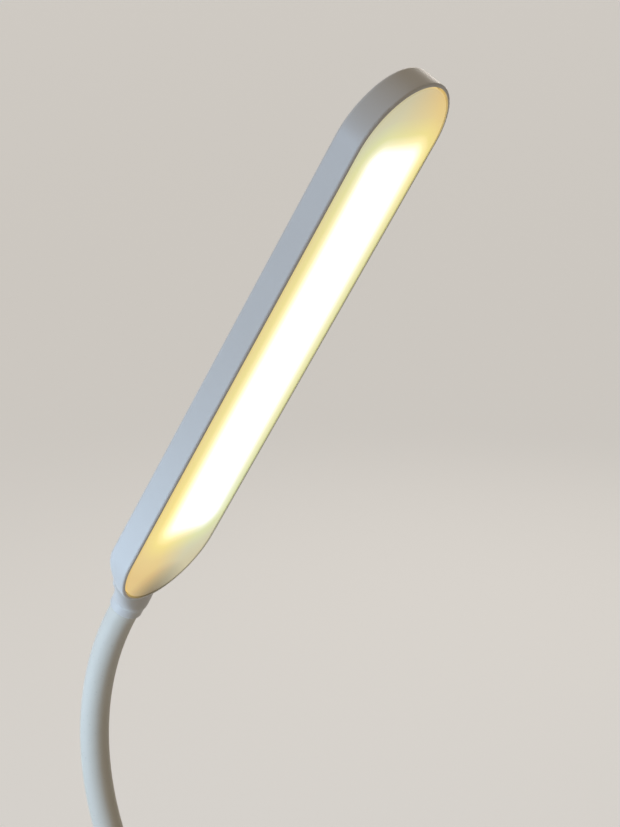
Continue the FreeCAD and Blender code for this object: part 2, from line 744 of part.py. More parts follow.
def trough(grow):
    """Sloping well from the reflector's window down to the board."""
    wires = []
    low = (REFLECTOR_FOOT_LENGTH, REFLECTOR_FOOT_WIDTH, LED_BOARD_TOP)
    high = (REFLECTOR_WINDOW_LENGTH, REFLECTOR_WINDOW_WIDTH, LEDGE_Z)
    for length, width, level in (low, high):
        wires.append(block(0, 0, length + grow, width + grow, level - OVERRUN, level).Faces[5].OuterWire)
    return Part.makeLoft(wires, True)


def reflector_tray():
    sheet = stadium(REFLECTOR_LENGTH, REFLECTOR_WIDTH, REFLECTOR_LOW, LEDGE_Z)
    return sheet.fuse(trough(2 * REFLECTOR_SHEET)).cut(trough(0))


def head_ferrule():
    tube = along_stub(HEAD_FERRULE_R, STUB_END_X, HEAD_END_X)
    spigot = along_stub(SPIGOT_R, STUB_END_X - SPIGOT_LENGTH, STUB_END_X)
    way = along_stub(LEAD_WAY_R, STUB_END_X - SPIGOT_LENGTH - OVERRUN, HEAD_END_X + OVERRUN)
    return tube.fuse(spigot).cut(way)


def neck_set_screws():
    screw = cylinder(SET_SCREW_DIAMETER / 2, HEAD_FERRULE_R, CUFF_R - FIT)
    socket_low = CUFF_R - FIT - SET_SCREW_SOCKET_DEPTH
    return Part.makeCompound(round_stub(screw.cut(prism(6, SET_SCREW_SOCKET, socket_low, CUFF_R + OVERRUN))))


def led_leads():
    wires = []
    radius = LED_LEAD_DIAMETER / 2
    pad_z = LED_BOARD_TOP + radius
    pad_x = -LED_BOARD_LENGTH / 2 + LED_LEAD_RUN
    for side in (-1, 1):
        start = V(LEAD_END_X, side * LEAD_R / 2, -STUB_AXIS_DEPTH)
        drop = V((LEAD_END_X - LED_BOARD_LENGTH / 2) / 2, side * LEAD_R / 2, -STUB_AXIS_DEPTH)
        land = V(-LED_BOARD_LENGTH / 2, side * LED_LEAD_SPREAD / 2, pad_z)
        end = V(pad_x, side * LED_LEAD_SPREAD / 2, pad_z)
        wires.append(lead([start, drop, land, end], LED_LEAD_DIAMETER))
    return Part.makeCompound(wires)


# Base: shell, cover and weight

def cover_screw_places():
    return circle_points(COVER_SCREW_COUNT, COVER_SCREW_CIRCLE_R, math.pi / COVER_SCREW_COUNT)


def ballast_screw_places():
    return circle_points(BALLAST_SCREW_COUNT, BALLAST_SCREW_CIRCLE_R, math.pi / 2)


def control_post_places():
    return [(side * CONTROL_POST_X, BUTTON_Y) for side in (-1, 1)]


def charge_post_places():
    return [(side * CHARGE_POST_X, CHARGE_POST_Y) for side in (-1, 1)]


def base_posts():
    """Posts under the ceiling for the cover and for both boards."""
    root = CEILING + BASE_WALL / 2
    posts = [cylinder(COVER_BOSS_R, COVER_TOP, root, x, y) for x, y in cover_screw_places()]
    posts += [cylinder(BOARD_POST_R, CONTROL_TOP, root, x, y) for x, y in control_post_places()]
    posts += [cylinder(BOARD_POST_R, CHARGE_TOP, root, x, y) for x, y in charge_post_places()]
    return posts


def base_openings():
    """Holes through the shell and screw holes in its posts."""
    past = BASE_TOP + OVERRUN
    inside = CEILING - OVERRUN
    holes = [
        cylinder(THREAD_R + FIT, inside, past, 0, SOCKET_Y),
        cylinder(BUTTON_R + BUTTON_CLEARANCE, inside, past, 0, BUTTON_Y),
        cylinder(LENS_DIAMETER / 2 + FIT, inside, past, 0, LENS_Y),
        usb_bar(USB_WIDTH + 2 * LOOSE, USB_HEIGHT + 2 * LOOSE, USB_BACK_Y, BASE_R + OVERRUN),
    ]
    screw_radius = COVER_SCREW_DIAMETER / 2 + THREAD_FIT
    for x, y in cover_screw_places():
        holes.append(cylinder(screw_radius, COVER_TOP - OVERRUN, COVER_TOP + COVER_SCREW_REACH + LOOSE, x, y))
    pilot = BOARD_SCREW_R + THREAD_FIT
    for x, y in control_post_places():
        holes.append(cylinder(pilot, CONTROL_TOP - OVERRUN, CONTROL_TOP + BOARD_SCREW_REACH + LOOSE, x, y))
    for x, y in charge_post_places():
        holes.append(cylinder(pilot, CHARGE_TOP - OVERRUN, CHARGE_TOP + BOARD_SCREW_REACH + LOOSE, x, y))
    return holes


def base_shell():
    shell = cylinder(BASE_R, PAD_THICKNESS, BASE_TOP)
    shell = rounded(shell, BASE_TOP_EDGE, BASE_TOP)
    shell = rounded(shell, BASE_FOOT_EDGE, PAD_THICKNESS)
    hollow = cylinder(CAVITY_R, PAD_THICKNESS - OVERRUN, CEILING)
    shell = shell.cut(rounded(hollow, BASE_TOP_EDGE - BASE_WALL, CEILING))
    return fused([shell] + base_posts()).cut(fused(base_openings()))


def base_cover():
    cover = cylinder(CAVITY_R - FIT, PAD_THICKNESS, COVER_TOP)
    holes = []
    for x, y in cover_screw_places():
        hole = sunk_hole(COVER_SCREW_DIAMETER / 2, COVER_THICKNESS + OVERRUN)
        holes.append(upside_down(hole, x, y, PAD_THICKNESS))
    for x, y in ballast_screw_places():
        hole = sunk_hole(BALLAST_SCREW_DIAMETER / 2, COVER_THICKNESS + OVERRUN)
        holes.append(upside_down(hole, x, y, PAD_THICKNESS))
    return cover.cut(fused(holes))


def cover_screws():
    screw = sunk_screw(COVER_SCREW_DIAMETER / 2, COVER_THICKNESS + COVER_SCREW_REACH)
    return Part.makeCompound([upside_down(screw, x, y, PAD_THICKNESS) for x, y in cover_screw_places()])


def ballast_screws():
    screw = sunk_screw(BALLAST_SCREW_DIAMETER / 2, COVER_THICKNESS + BALLAST_SCREW_REACH)
    return Part.makeCompound([upside_down(screw, x, y, PAD_THICKNESS) for x, y in ballast_screw_places()])


def foot_pad():
    return cylinder(PAD_DIAMETER / 2, 0, PAD_THICKNESS)


def ballast_plate():
    plate = cylinder(BALLAST_R, COVER_TOP, BALLAST_TOP)
    hole_radius = BALLAST_SCREW_DIAMETER / 2 + THREAD_FIT
    for x, y in ballast_screw_places():
        plate = plate.cut(cylinder(hole_radius, COVER_TOP - OVERRUN, BALLAST_TOP + OVERRUN, x, y))
    return plate


# Base: foot of the neck

def base_collar():
    collar = cylinder(COLLAR_R, BASE_TOP, BASE_TOP + COLLAR_HEIGHT, 0, SOCKET_Y)
    collar = rounded(collar, COLLAR_EDGE, BASE_TOP + COLLAR_HEIGHT)
    seat = cylinder(FLANGE_R + FIT, BASE_TOP - OVERRUN, FLANGE_TOP + FIT, 0, SOCKET_Y)
    way = cylinder(SLEEVE_R + LOOSE, BASE_TOP, BASE_TOP + COLLAR_HEIGHT + OVERRUN, 0, SOCKET_Y)
    return collar.cut(seat.fuse(way))


def base_ferrule():
    ferrule = fused([
        cylinder(FLANGE_R, BASE_TOP, FLANGE_TOP, 0, SOCKET_Y),
        cylinder(THREAD_R, THREAD_LOW, BASE_TOP, 0, SOCKET_Y),
        cylinder(SPIGOT_R, FLANGE_TOP, FLANGE_TOP + SPIGOT_LENGTH, 0, SOCKET_Y),
    ])
    top = FLANGE_TOP + SPIGOT_LENGTH + OVERRUN
    return ferrule.cut(cylinder(LEAD_WAY_R, THREAD_LOW - OVERRUN, top, 0, SOCKET_Y))


def lock_washer():
    washer = ring(WASHER_R, THREAD_R + FIT, WASHER_LOW, CEILING, 0, SOCKET_Y)
    notches = []
    for x, y in circle_points(WASHER_NOTCHES, WASHER_R):
        notches.append(cylinder(WASHER_NOTCH / 2, WASHER_LOW - OVERRUN, CEILING + OVERRUN, x, SOCKET_Y + y))
    return washer.cut(fused(notches))


def lock_nut():
    nut = prism(6, NUT_FLATS, NUT_LOW, WASHER_LOW, 0, SOCKET_Y)
    return nut.cut(cylinder(THREAD_R + THREAD_FIT, NUT_LOW - OVERRUN, WASHER_LOW + OVERRUN, 0, SOCKET_Y))


# Base: battery

def battery_cell():
    cell = block(0, BATTERY_MID_Y, BATTERY_WIDTH, BATTERY_DEPTH, BATTERY_LOW, BATTERY_TOP)
    upright_edges = [e for e in cell.Edges if e.BoundBox.ZLength > BATTERY_HEIGHT / 2]
    cell = cell.makeFillet(BATTERY_EDGE, upright_edges)
    return rounded(cell, BATTERY_EDGE, BATTERY_TOP)


def battery_pad():
    width = BATTERY_WIDTH - 2 * BATTERY_PAD_MARGIN
    depth = BATTERY_DEPTH - 2 * BATTERY_PAD_MARGIN
    return block(0, BATTERY_MID_Y, width, depth, BALLAST_TOP, BATTERY_LOW)


def battery_leads():
    """Two wires from the back of the cell to the front of the charge board."""
    cell_y = BATTERY_REAR_Y
    cell_z = BATTERY_LOW + BATTERY_HEIGHT / 2
    land_z = CHARGE_TOP + BATTERY_LEAD_DIAMETER / 2
    near_y = cell_y + (CHARGE_FRONT_Y - cell_y) / 3
    far_y = CHARGE_FRONT_Y - (CHARGE_FRONT_Y - cell_y) / 3
    wires = []
    for side in (-1, 1):
        x = side * BATTERY_LEAD_SPACING / 2
        points = [V(x, cell_y, cell_z), V(x, near_y, cell_z), V(x, far_y, land_z)]
        points.append(V(x, CHARGE_FRONT_Y + CHARGE_POST_INSET - BOARD_POST_DIAMETER, land_z))
        wires.append(lead(points, BATTERY_LEAD_DIAMETER))
    return Part.makeCompound(wires)


# Base: charge board and its socket

def board_screws(places, low, thickness):
    """Pan screws driven upward through a board into its posts."""
    screw = pan_screw(BOARD_SCREW_R, BOARD_SCREW_HEAD / 2, BOARD_SCREW_HEAD_HEIGHT, thickness + BOARD_SCREW_REACH)
    return Part.makeCompound([upside_down(screw, x, y, low) for x, y in places])


def drilled(board, places, low, high):
    for x, y in places:
        board = board.cut(cylinder(BOARD_SCREW_R + FIT, low - OVERRUN, high + OVERRUN, x, y))
    return board


def charge_board():
    board = block(0, CHARGE_MID_Y, CHARGE_BOARD_WIDTH, CHARGE_BOARD_DEPTH, CHARGE_LOW, CHARGE_TOP)
    return drilled(board, charge_post_places(), CHARGE_LOW, CHARGE_TOP)


def charge_board_screws():
    return board_screws(charge_post_places(), CHARGE_LOW, CHARGE_BOARD_THICKNESS)


def usb_bar(width, height, start, end):
    """Flat bar with half-round sides, lying along Y at the socket's level."""
    bar = stadium(width, height, 0, end - start)
    bar.rotate(V(0, 0, 0), X_AXIS, -90)
    bar.translate(V(0, start, USB_MID))
    return bar


def usb_socket():
    body = usb_bar(USB_WIDTH, USB_HEIGHT, USB_BACK_Y, USB_MOUTH_Y)
    width = USB_WIDTH - 2 * USB_WALL
    height = USB_HEIGHT - 2 * USB_WALL
    return body.cut(usb_bar(width, height, USB_BACK_Y + USB_WALL, USB_MOUTH_Y + OVERRUN))


def usb_tongue():
    start = USB_BACK_Y + USB_WALL
    mid = start + USB_TONGUE_LENGTH / 2
    low = USB_MID - USB_TONGUE_HEIGHT / 2
    return block(0, mid, USB_TONGUE_WIDTH, USB_TONGUE_LENGTH, low, low + USB_TONGUE_HEIGHT)


def driver_leads():
    """Two wires from the end of the lead cable down to the charge board."""
    wires = []
    land_z = CHARGE_TOP + DRIVER_LEAD_DIAMETER / 2
    for side in (-1, 1):
        x = side * LEAD_R / 2
        points = [V(x, SOCKET_Y, THREAD_LOW - LOOSE), V(x, SOCKET_Y, land_z)]
        points.append(V(x, SOCKET_Y + DRIVER_LEAD_RUN, land_z))
        wires.append(lead(points, DRIVER_LEAD_DIAMETER))
    return Part.makeCompound(wires)


def board_parts():
    """Charge chip, coil, capacitor and indicator light on the two boards."""
    chip_y = USB_BACK_Y - CHIP_GAP - CHIP_SIZE / 2
    parts_y = BUTTON_Y - PARTS_SET_BACK
    lens_top = CONTROL_TOP + LENS_LED_HEIGHT
    return Part.makeCompound([
        block(0, chip_y, CHIP_SIZE, CHIP_SIZE, CHARGE_TOP, CHARGE_TOP + CHIP_HEIGHT),
        block(-PARTS_SPREAD, parts_y, COIL_SIZE, COIL_SIZE, CONTROL_TOP, CONTROL_TOP + COIL_HEIGHT),
        cylinder(CAPACITOR_DIAMETER / 2, CONTROL_TOP, CONTROL_TOP + CAPACITOR_HEIGHT, PARTS_SPREAD, parts_y),
        block(0, LENS_Y, LENS_LED_SIZE, LENS_LED_SIZE, CONTROL_TOP, lens_top),
    ])


# Base: control board, switch and button

def control_board():
    depth = CONTROL_REAR_Y - CONTROL_FRONT_Y
    board = block(0, CONTROL_MID_Y, CONTROL_BOARD_WIDTH, depth, CONTROL_LOW, CONTROL_TOP)
    return drilled(board, control_post_places(), CONTROL_LOW, CONTROL_TOP)


def control_board_screws():
    return board_screws(control_post_places(), CONTROL_LOW, CONTROL_BOARD_THICKNESS)


def control_cable():
    """Jacketed cable from the charge board round the battery to the control board."""
    radius = CONTROL_CABLE_DIAMETER / 2
    rear_z = CHARGE_TOP + radius
    front_z = CONTROL_TOP + radius
    side_x = BATTERY_WIDTH / 2 + CONTROL_CABLE_MARGIN
    rear_x = CHARGE_BOARD_WIDTH / 2
    rear_y = CHARGE_FRONT_Y + radius
    points = [
        V(rear_x - CONTROL_CABLE_TAIL / 2, rear_y, rear_z),
        V(rear_x + CONTROL_CABLE_TAIL, rear_y, rear_z),
        V(side_x, BATTERY_REAR_Y, rear_z),
        V(side_x, BATTERY_FRONT_Y, front_z),
        V(CONTROL_CABLE_SPREAD, CONTROL_REAR_Y, front_z),
        V(CONTROL_CABLE_SPREAD, CONTROL_REAR_Y - CONTROL_CABLE_TAIL, front_z),
    ]
    return lead(points, CONTROL_CABLE_DIAMETER)


def tact_switch():
    body = block(0, BUTTON_Y, SWITCH_SIZE, SWITCH_SIZE, CONTROL_TOP, SWITCH_TOP)
    well = cylinder(PLUNGER_DIAMETER / 2 + FIT, SWITCH_TOP - PLUNGER_WELL, SWITCH_TOP + OVERRUN, 0, BUTTON_Y)
    return body.cut(well)


def switch_plunger():
    return cylinder(PLUNGER_DIAMETER / 2, SWITCH_TOP - PLUNGER_SINK, BUTTON_STEM_LOW, 0, BUTTON_Y)


def power_button():
    top = BASE_TOP + BUTTON_PROUD
    cap = rounded(cylinder(BUTTON_R, BUTTON_LIP_LOW, top, 0, BUTTON_Y), BUTTON_EDGE, top)
    lip = cylinder(BUTTON_LIP_R, BUTTON_LIP_LOW, BUTTON_LIP_TOP, 0, BUTTON_Y)
    stem = cylinder(BUTTON_STEM_DIAMETER / 2, BUTTON_STEM_LOW, BUTTON_LIP_LOW, 0, BUTTON_Y)
    dish_r = BUTTON_DISH_SHARE * BUTTON_R
    ball_r = (dish_r * dish_r + BUTTON_DISH_DEPTH * BUTTON_DISH_DEPTH) / (2 * BUTTON_DISH_DEPTH)
    dish = Part.makeSphere(ball_r, V(0, BUTTON_Y, top + ball_r - BUTTON_DISH_DEPTH))
    return fused([cap, lip, stem]).cut(dish)


def indicator_lens():
    low = CONTROL_TOP + LENS_LED_HEIGHT
    rod = cylinder(LENS_DIAMETER / 2, low, BASE_TOP, 0, LENS_Y)
    flange = cylinder(LENS_FLANGE_R, CEILING - LENS_FLANGE_THICKNESS, CEILING, 0, LENS_Y)
    return rod.fuse(flange)


def head_pieces():
    makers = [
        head_housing, diffuser, reflector_tray, led_board, led_chips,
        led_board_screws, led_leads, head_ferrule, neck_set_screws,
    ]
    return {maker.__name__: to_head(maker()) for maker in makers}


def neck_pieces():
    pieces = {"lead_cable": lead_cable()}
    for number in range(PIVOT_COUNT + 1):
        pieces["neck_sleeve_%d" % number] = neck_sleeve(number)
        pieces["neck_core_%d" % number] = neck_core(number)
    return pieces


def base_pieces():
    makers = [
        base_shell, base_cover, foot_pad, ballast_plate, cover_screws, ballast_screws,
        base_collar, base_ferrule, lock_washer, lock_nut,
        battery_cell, battery_pad, battery_leads,
        charge_board, charge_board_screws, usb_socket, usb_tongue, driver_leads, board_parts,
        control_board, control_board_screws, control_cable,
        tact_switch, switch_plunger, power_button, indicator_lens,
    ]
    return {maker.__name__: maker() for maker in makers}


def main():
    os.makedirs("parts", exist_ok=True)
    pieces = {}
    pieces.update(base_pieces())
    pieces.update(neck_pieces())
    pieces.update(head_pieces())
    for name, shape in pieces.items():
        if not shape.isValid() or shape.Volume <= 0:
            raise RuntimeError("bad shape: " + name)
        shape.exportStep("parts/%s.step" % name)
        print("%-22s solids %3d  volume %10.1f" % (name, len(shape.Solids), shape.Volume))


if __name__ == "__main__":
    main()
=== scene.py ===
import json
import math

import bmesh
import bpy
from mathutils import Matrix, Vector


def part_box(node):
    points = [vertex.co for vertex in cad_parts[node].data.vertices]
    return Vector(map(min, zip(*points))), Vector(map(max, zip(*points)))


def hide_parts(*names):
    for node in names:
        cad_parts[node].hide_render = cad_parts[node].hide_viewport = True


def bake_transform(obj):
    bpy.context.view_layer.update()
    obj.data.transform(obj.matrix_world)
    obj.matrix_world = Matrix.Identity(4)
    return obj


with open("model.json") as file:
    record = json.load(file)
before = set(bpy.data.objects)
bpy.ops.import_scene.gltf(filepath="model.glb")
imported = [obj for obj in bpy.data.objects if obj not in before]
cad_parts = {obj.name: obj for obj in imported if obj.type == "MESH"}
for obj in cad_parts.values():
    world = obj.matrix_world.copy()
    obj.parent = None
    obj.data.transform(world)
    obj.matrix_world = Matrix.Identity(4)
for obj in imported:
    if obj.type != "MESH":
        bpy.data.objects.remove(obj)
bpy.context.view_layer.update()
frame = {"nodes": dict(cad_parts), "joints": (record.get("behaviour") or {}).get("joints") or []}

bl_info = {
    "name": "LED Table Lamp",
    "version": (1, 0, 0),
    "blender": (4, 5, 0),
    "location": "View3D > Sidebar > Lamp",
    "description": "Dresses the solids of a gooseneck LED table lamp with its sleeve, light and finishes",
    "category": "Object",
}

NODES = frame["nodes"]
PIVOTS = [joint for joint in frame["joints"] if joint["name"].startswith("neck_pivot")]
SIDE = Vector((1, 0, 0))

# Fineness of the neck's meshes: ring spacing in metres and sides of a ring
SLEEVE_MESH = (0.001, 64)
CORE_MESH = (0.00025, 32)
LEAD_MESH = (0.0015, 20)

# Rings that round the sleeve's lip, as shares of it
LIP_SHARES = (0.1, 0.3, 0.6, 1.0)

# Share of a wire's half width that shows between its neighbours in the core
WIRE_SHOWN_SHARE = 0.9

# How far outside the lit strip's border each colour of the glow stands, in metres
GLOW_STEPS = (-0.005, 0.0015, 0.0045, 0.011, 0.020)

# How far the strip's middle takes the tint of its neck end, and the power with which that tint turns along it
TINT_LEAN_SHARE = 0.35
TINT_POWER = 3.0

# Share of the light that is left in the darkest part of the shade at the neck end
ENTRY_LIGHT_SHARE = 0.16

# Colours of pieces that are out of sight
JACKET_WHITE = "#DADAD6"
MASK_GREEN = "#1C5A36"
TRACK_GREEN = "#2A7148"

# Stage, in metres, watts and degrees: name, place, target, size, power, tint and spread of each lamp
LAMPS = (
    ("window", (-0.150, 0.146, 0.226), (0, 0.07, 0.24), 0.10, 0.132, "#BEDCF8", 180),
    ("sky", (-1.80, 1.01, 0.50), (0, 0.03, 0.30), 0.60, 3.25, "#B9DAFF", 90),
    ("fill", (1.40, 0.60, 0.75), (0, 0.03, 0.25), 0.60, 1.00, "#FFF7EE", 90),
)
ROOM_TINT = "#FFEBCF"
ROOM_BRIGHT_WAY = (-0.57, 0.82, 0)
ROOM_LEVELS = (0.085, 0.40)
BACKDROP_LEVEL = 0.9
FLOOR_LIFT = 0.62
FLOOR_RADIUS = 60.0

# The camera stands where the photograph was taken from, its lens in millimetres
CAMERA_PLACE = (-0.49276, -0.342824, 0.482008)
CAMERA_WAY = (0.80064, 0.55220, -0.23248)
CAMERA_LENS = 80.05
CAMERA_SENSOR = 36.0
CAMERA_NEAR = 0.01


def linear(code):
    """Linear colour of an sRGB hex value."""
    parts = [int(code[n:n + 2], 16) / 255 for n in (1, 3, 5)]
    return tuple(c / 12.92 if c <= 0.04045 else ((c + 0.055) / 1.055) ** 2.4 for c in parts) + (1.0,)


def length(name, default, description):
    """Settings of a length in metres."""
    return {"name": name, "default": default, "description": description,
            "unit": "LENGTH", "subtype": "DISTANCE", "precision": 5}


def offset(name, default, description):
    """Settings of a shift in metres."""
    return {"name": name, "default": default, "description": description,
            "unit": "LENGTH", "subtype": "TRANSLATION", "size": 3, "precision": 5}


def angle(name, degrees, description):
    """Settings of an angle."""
    return {"name": name, "default": math.radians(degrees), "description": description, "subtype": "ANGLE"}


def colour(name, code, description):
    """Settings of a colour, from its sRGB hex value."""
    return {"name": name, "default": linear(code), "description": description, "subtype": "COLOR", "size": 4,
            "min": 0.0, "max": 1.0}


class LampSizes(bpy.types.PropertyGroup):
    """Sizes of the pieces that are made here, in the frame of the solids"""
    foot_y: bpy.props.FloatProperty(**length(
        "Foot of neck", sum(v.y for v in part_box("base_collar")) / 2,
        "How far behind the middle of the base the neck stands"))
    foot_z: bpy.props.FloatProperty(**length(
        "Foot level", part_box("neck_sleeve_0")[0].z, "Level of the lower end of the sleeve"))
    neck_rise: bpy.props.FloatProperty(**length("Rise", 0.014, "Upright run of the neck above its foot"))
    lower_bend: bpy.props.FloatProperty(**length(
        "Lower bend", 0.105, "Radius of the bend that leans the neck back"))
    neck_straight: bpy.props.FloatProperty(**length(
        "Straight run", 0.062, "Straight run between the two bends"))
    upper_bend: bpy.props.FloatProperty(**length(
        "Upper bend", 0.105, "Radius of the bend that carries the head forward"))
    neck_tip: bpy.props.FloatProperty(**length("Tip", 0.0018, "Straight end of the neck at the head"))
    lean_back: bpy.props.FloatProperty(**angle(
        "Lean back", 30, "How far the lower bend leans the neck back"))
    head_lean: bpy.props.FloatProperty(**angle(
        "Head lean", 32.1, "How far the head leans forward from upright"))
    sleeve_diameter: bpy.props.FloatProperty(**length(
        "Sleeve", 0.01099, "Outside of the neck's sleeve, a hair inside the solids"))
    sleeve_wall: bpy.props.FloatProperty(**length("Sleeve wall", 0.0011, "Wall of the neck's sleeve"))
    sleeve_lip: bpy.props.FloatProperty(**length("Sleeve lip", 0.0004, "Rounding of the sleeve's two ends"))
    core_diameter: bpy.props.FloatProperty(**length("Core", 0.0086, "Outside diameter of the wound core"))
    core_bore: bpy.props.FloatProperty(**length("Core bore", 0.0056, "Bore of the wound core"))
    wire_pitch: bpy.props.FloatProperty(**length("Wire pitch", 0.002, "Spacing of the core's wire turns"))
    lead_diameter: bpy.props.FloatProperty(**length("Lead", 0.0028, "Diameter of the lead inside the neck"))
    lead_foot: bpy.props.FloatProperty(**length(
        "Lead below", 0.010, "How far the lead reaches below the sleeve"))
    lead_head: bpy.props.FloatProperty(**length(
        "Lead beyond", 0.0154, "How far the lead reaches into the head"))
    strip_length: bpy.props.FloatProperty(**length(
        "Lit strip length", 0.1665, "Length of the brightest strip"))
    strip_width: bpy.props.FloatProperty(**length(
        "Lit strip width", 0.0297, "Width of the brightest strip"))
    strip_round: bpy.props.FloatProperty(**length(
        "Lit strip corners", 0.0065, "Corner radius of the brightest strip"))
    strip_shift: bpy.props.FloatVectorProperty(**offset(
        "Lit strip place", (0.0047, -0.0017, 0), "Middle of the strip, along and across the panel"))
    entry_place: bpy.props.FloatVectorProperty(**offset(
        "Shade place", (-0.113, -0.001, 0), "Middle of the neck end's shade, along and across the panel"))
    entry_dark: bpy.props.FloatProperty(**length(
        "Shade, dark", 0.003, "Radius of the darkest part of that shade"))
    entry_edge: bpy.props.FloatProperty(**length("Shade, edge", 0.019, "Radius at which that shade ends"))


class LampColours(bpy.types.PropertyGroup):
    """Colours of the lamp's finishes"""
    body: bpy.props.FloatVectorProperty(**colour("Body", "#ECECEA", "Moulded head, base and collar"))
    button: bpy.props.FloatVectorProperty(**colour("Button", "#E2E2DF", "Moulded push button"))
    sleeve: bpy.props.FloatVectorProperty(**colour("Sleeve", "#F2F0E6", "Silicone sleeve of the neck"))
    opal: bpy.props.FloatVectorProperty(**colour(
        "Opal", "#B9B19C", "Diffuser, as its own surface returns light"))
    glow_core: bpy.props.FloatVectorProperty(**colour(
        "Glow, middle", "#FFFBF0", "Light of the brightest strip"))
    glow_halo: bpy.props.FloatVectorProperty(**colour(
        "Glow, halo", "#C0B88C", "Light at the strip's border"))
    glow_side: bpy.props.FloatVectorProperty(**colour("Glow, beside", "#ABA66D", "Light beside the strip"))
    glow_end: bpy.props.FloatVectorProperty(**colour(
        "Glow, ends", "#A0956D", "Light between the strip and the ends"))
    glow_tip: bpy.props.FloatVectorProperty(**colour("Glow, tips", "#9B8B63", "Light at the very ends"))
    warm_corner: bpy.props.FloatVectorProperty(**colour(
        "Warm corners", "#F1E3C1", "Tint of two facing corners"))
    cool_corner: bpy.props.FloatVectorProperty(**colour(
        "Cool corners", "#D4E3FF", "Tint of the other two corners"))
    floor: bpy.props.FloatVectorProperty(**colour("Floor", "#D6D5D3", "Painted floor"))
    backdrop: bpy.props.FloatVectorProperty(**colour(
        "Backdrop", "#D4D0CA", "Wall behind, as the floor looks in this light"))


def add(tree, kind, links=None, stops=None, **settings):
    """Adds one node: settings fill its properties, links its sockets, stops its colour ramp."""
    made = tree.nodes.new(kind)
    for name, value in settings.items():
        setattr(made, name, value)
    for name, value in (links or {}).items():
        if isinstance(value, bpy.types.NodeSocket):
            tree.links.new(value, made.inputs[name])
        else:
            made.inputs[name].default_value = value
    for position, value in stops or []:
        first = position == stops[0][0]
        last = position == stops[-1][0]
        elements = made.color_ramp.elements
        stop = elements[0] if first else elements[-1] if last else elements.new(position)
        stop.position = position
        stop.color = value
    return made


def per(millimetres):
    """Repeats to the metre of a pattern whose features have this size."""
    return 1000 / millimetres


def started(name, values):
    """A new material, its node tree and its shader, which holds these constant values."""
    material = bpy.data.materials.new(name)
    material.use_nodes = True
    shader = material.node_tree.nodes["Principled BSDF"]
    for label, value in values.items():
        shader.inputs[label].default_value = value
    return material, material.node_tree, shader


def shade(value, factor):
    """A colour made lighter or darker."""
    return tuple(min(1.0, c * factor) for c in value[:3]) + (1.0,)


def surface(tree, shader, tone, gloss, relief):
    """Links a tone, a gloss and a relief to a shader."""
    tree.links.new(tone.outputs[2], shader.inputs["Base Color"])
    tree.links.new(gloss.outputs[0], shader.inputs["Roughness"])
    tree.links.new(relief.outputs[0], shader.inputs["Normal"])


def textured(tree, shader, place, tones, mottle, grit, depth, rough):
    """Gives a shader what moulded and foamed surfaces share: mottled tone, fine grit and uneven gloss.

    The mottle and the grit are sizes in millimetres, the depth of the grit is in metres.
    """
    slow = add(tree, "ShaderNodeTexNoise", {"Vector": place, "Scale": per(mottle), "Detail": 2.0})
    fine = add(tree, "ShaderNodeTexNoise", {"Vector": place, "Scale": per(grit), "Detail": 3.0})
    tone = add(tree, "ShaderNodeMix", {0: slow.outputs[0], 6: tones[0], 7: tones[1]}, data_type="RGBA")
    gloss = add(tree, "ShaderNodeMapRange", {
        "Value": fine.outputs[0], "To Min": rough[0], "To Max": rough[1]})
    pits = add(tree, "ShaderNodeBump", {"Height": fine.outputs[0], "Strength": 0.5, "Distance": depth})
    surface(tree, shader, tone, gloss, pits)


def brushed(tree, shader, place, tones, rough, stretch, grit, depth):
    """Gives a shader fine lines along one axis, as drawing, turning and rolling leave on metal.

    The grit is the width of the lines in millimetres where the stretch is 1, their depth is in metres.
    """
    drawn = add(tree, "ShaderNodeMapping", {"Vector": place, "Scale": stretch})
    lines = add(tree, "ShaderNodeTexNoise", {"Vector": drawn.outputs[0], "Scale": per(grit), "Detail": 4.0})
    tone = add(tree, "ShaderNodeMix", {0: lines.outputs[0], 6: tones[0], 7: tones[1]}, data_type="RGBA")
    gloss = add(tree, "ShaderNodeMapRange", {
        "Value": lines.outputs[0], "To Min": rough[0], "To Max": rough[1]})
    cut = add(tree, "ShaderNodeBump", {"Height": lines.outputs[0], "Strength": 0.6, "Distance": depth})
    surface(tree, shader, tone, gloss, cut)


def moulded_abs(name, body):
    # ABS moulded in a spark-eroded tool: an even satin with fine pits and a broad, soft highlight
    material, tree, shader = started(name, {"IOR": 1.54})
    place = add(tree, "ShaderNodeTexCoord").outputs["Object"]
    # The real pits are about 0.06 mm wide, drawn six times as coarse so that they show
    textured(tree, shader, place, (shade(body, 0.955), shade(body, 1.01)),
             mottle=24, grit=0.36, depth=0.00002, rough=(0.36, 0.50))
    return material


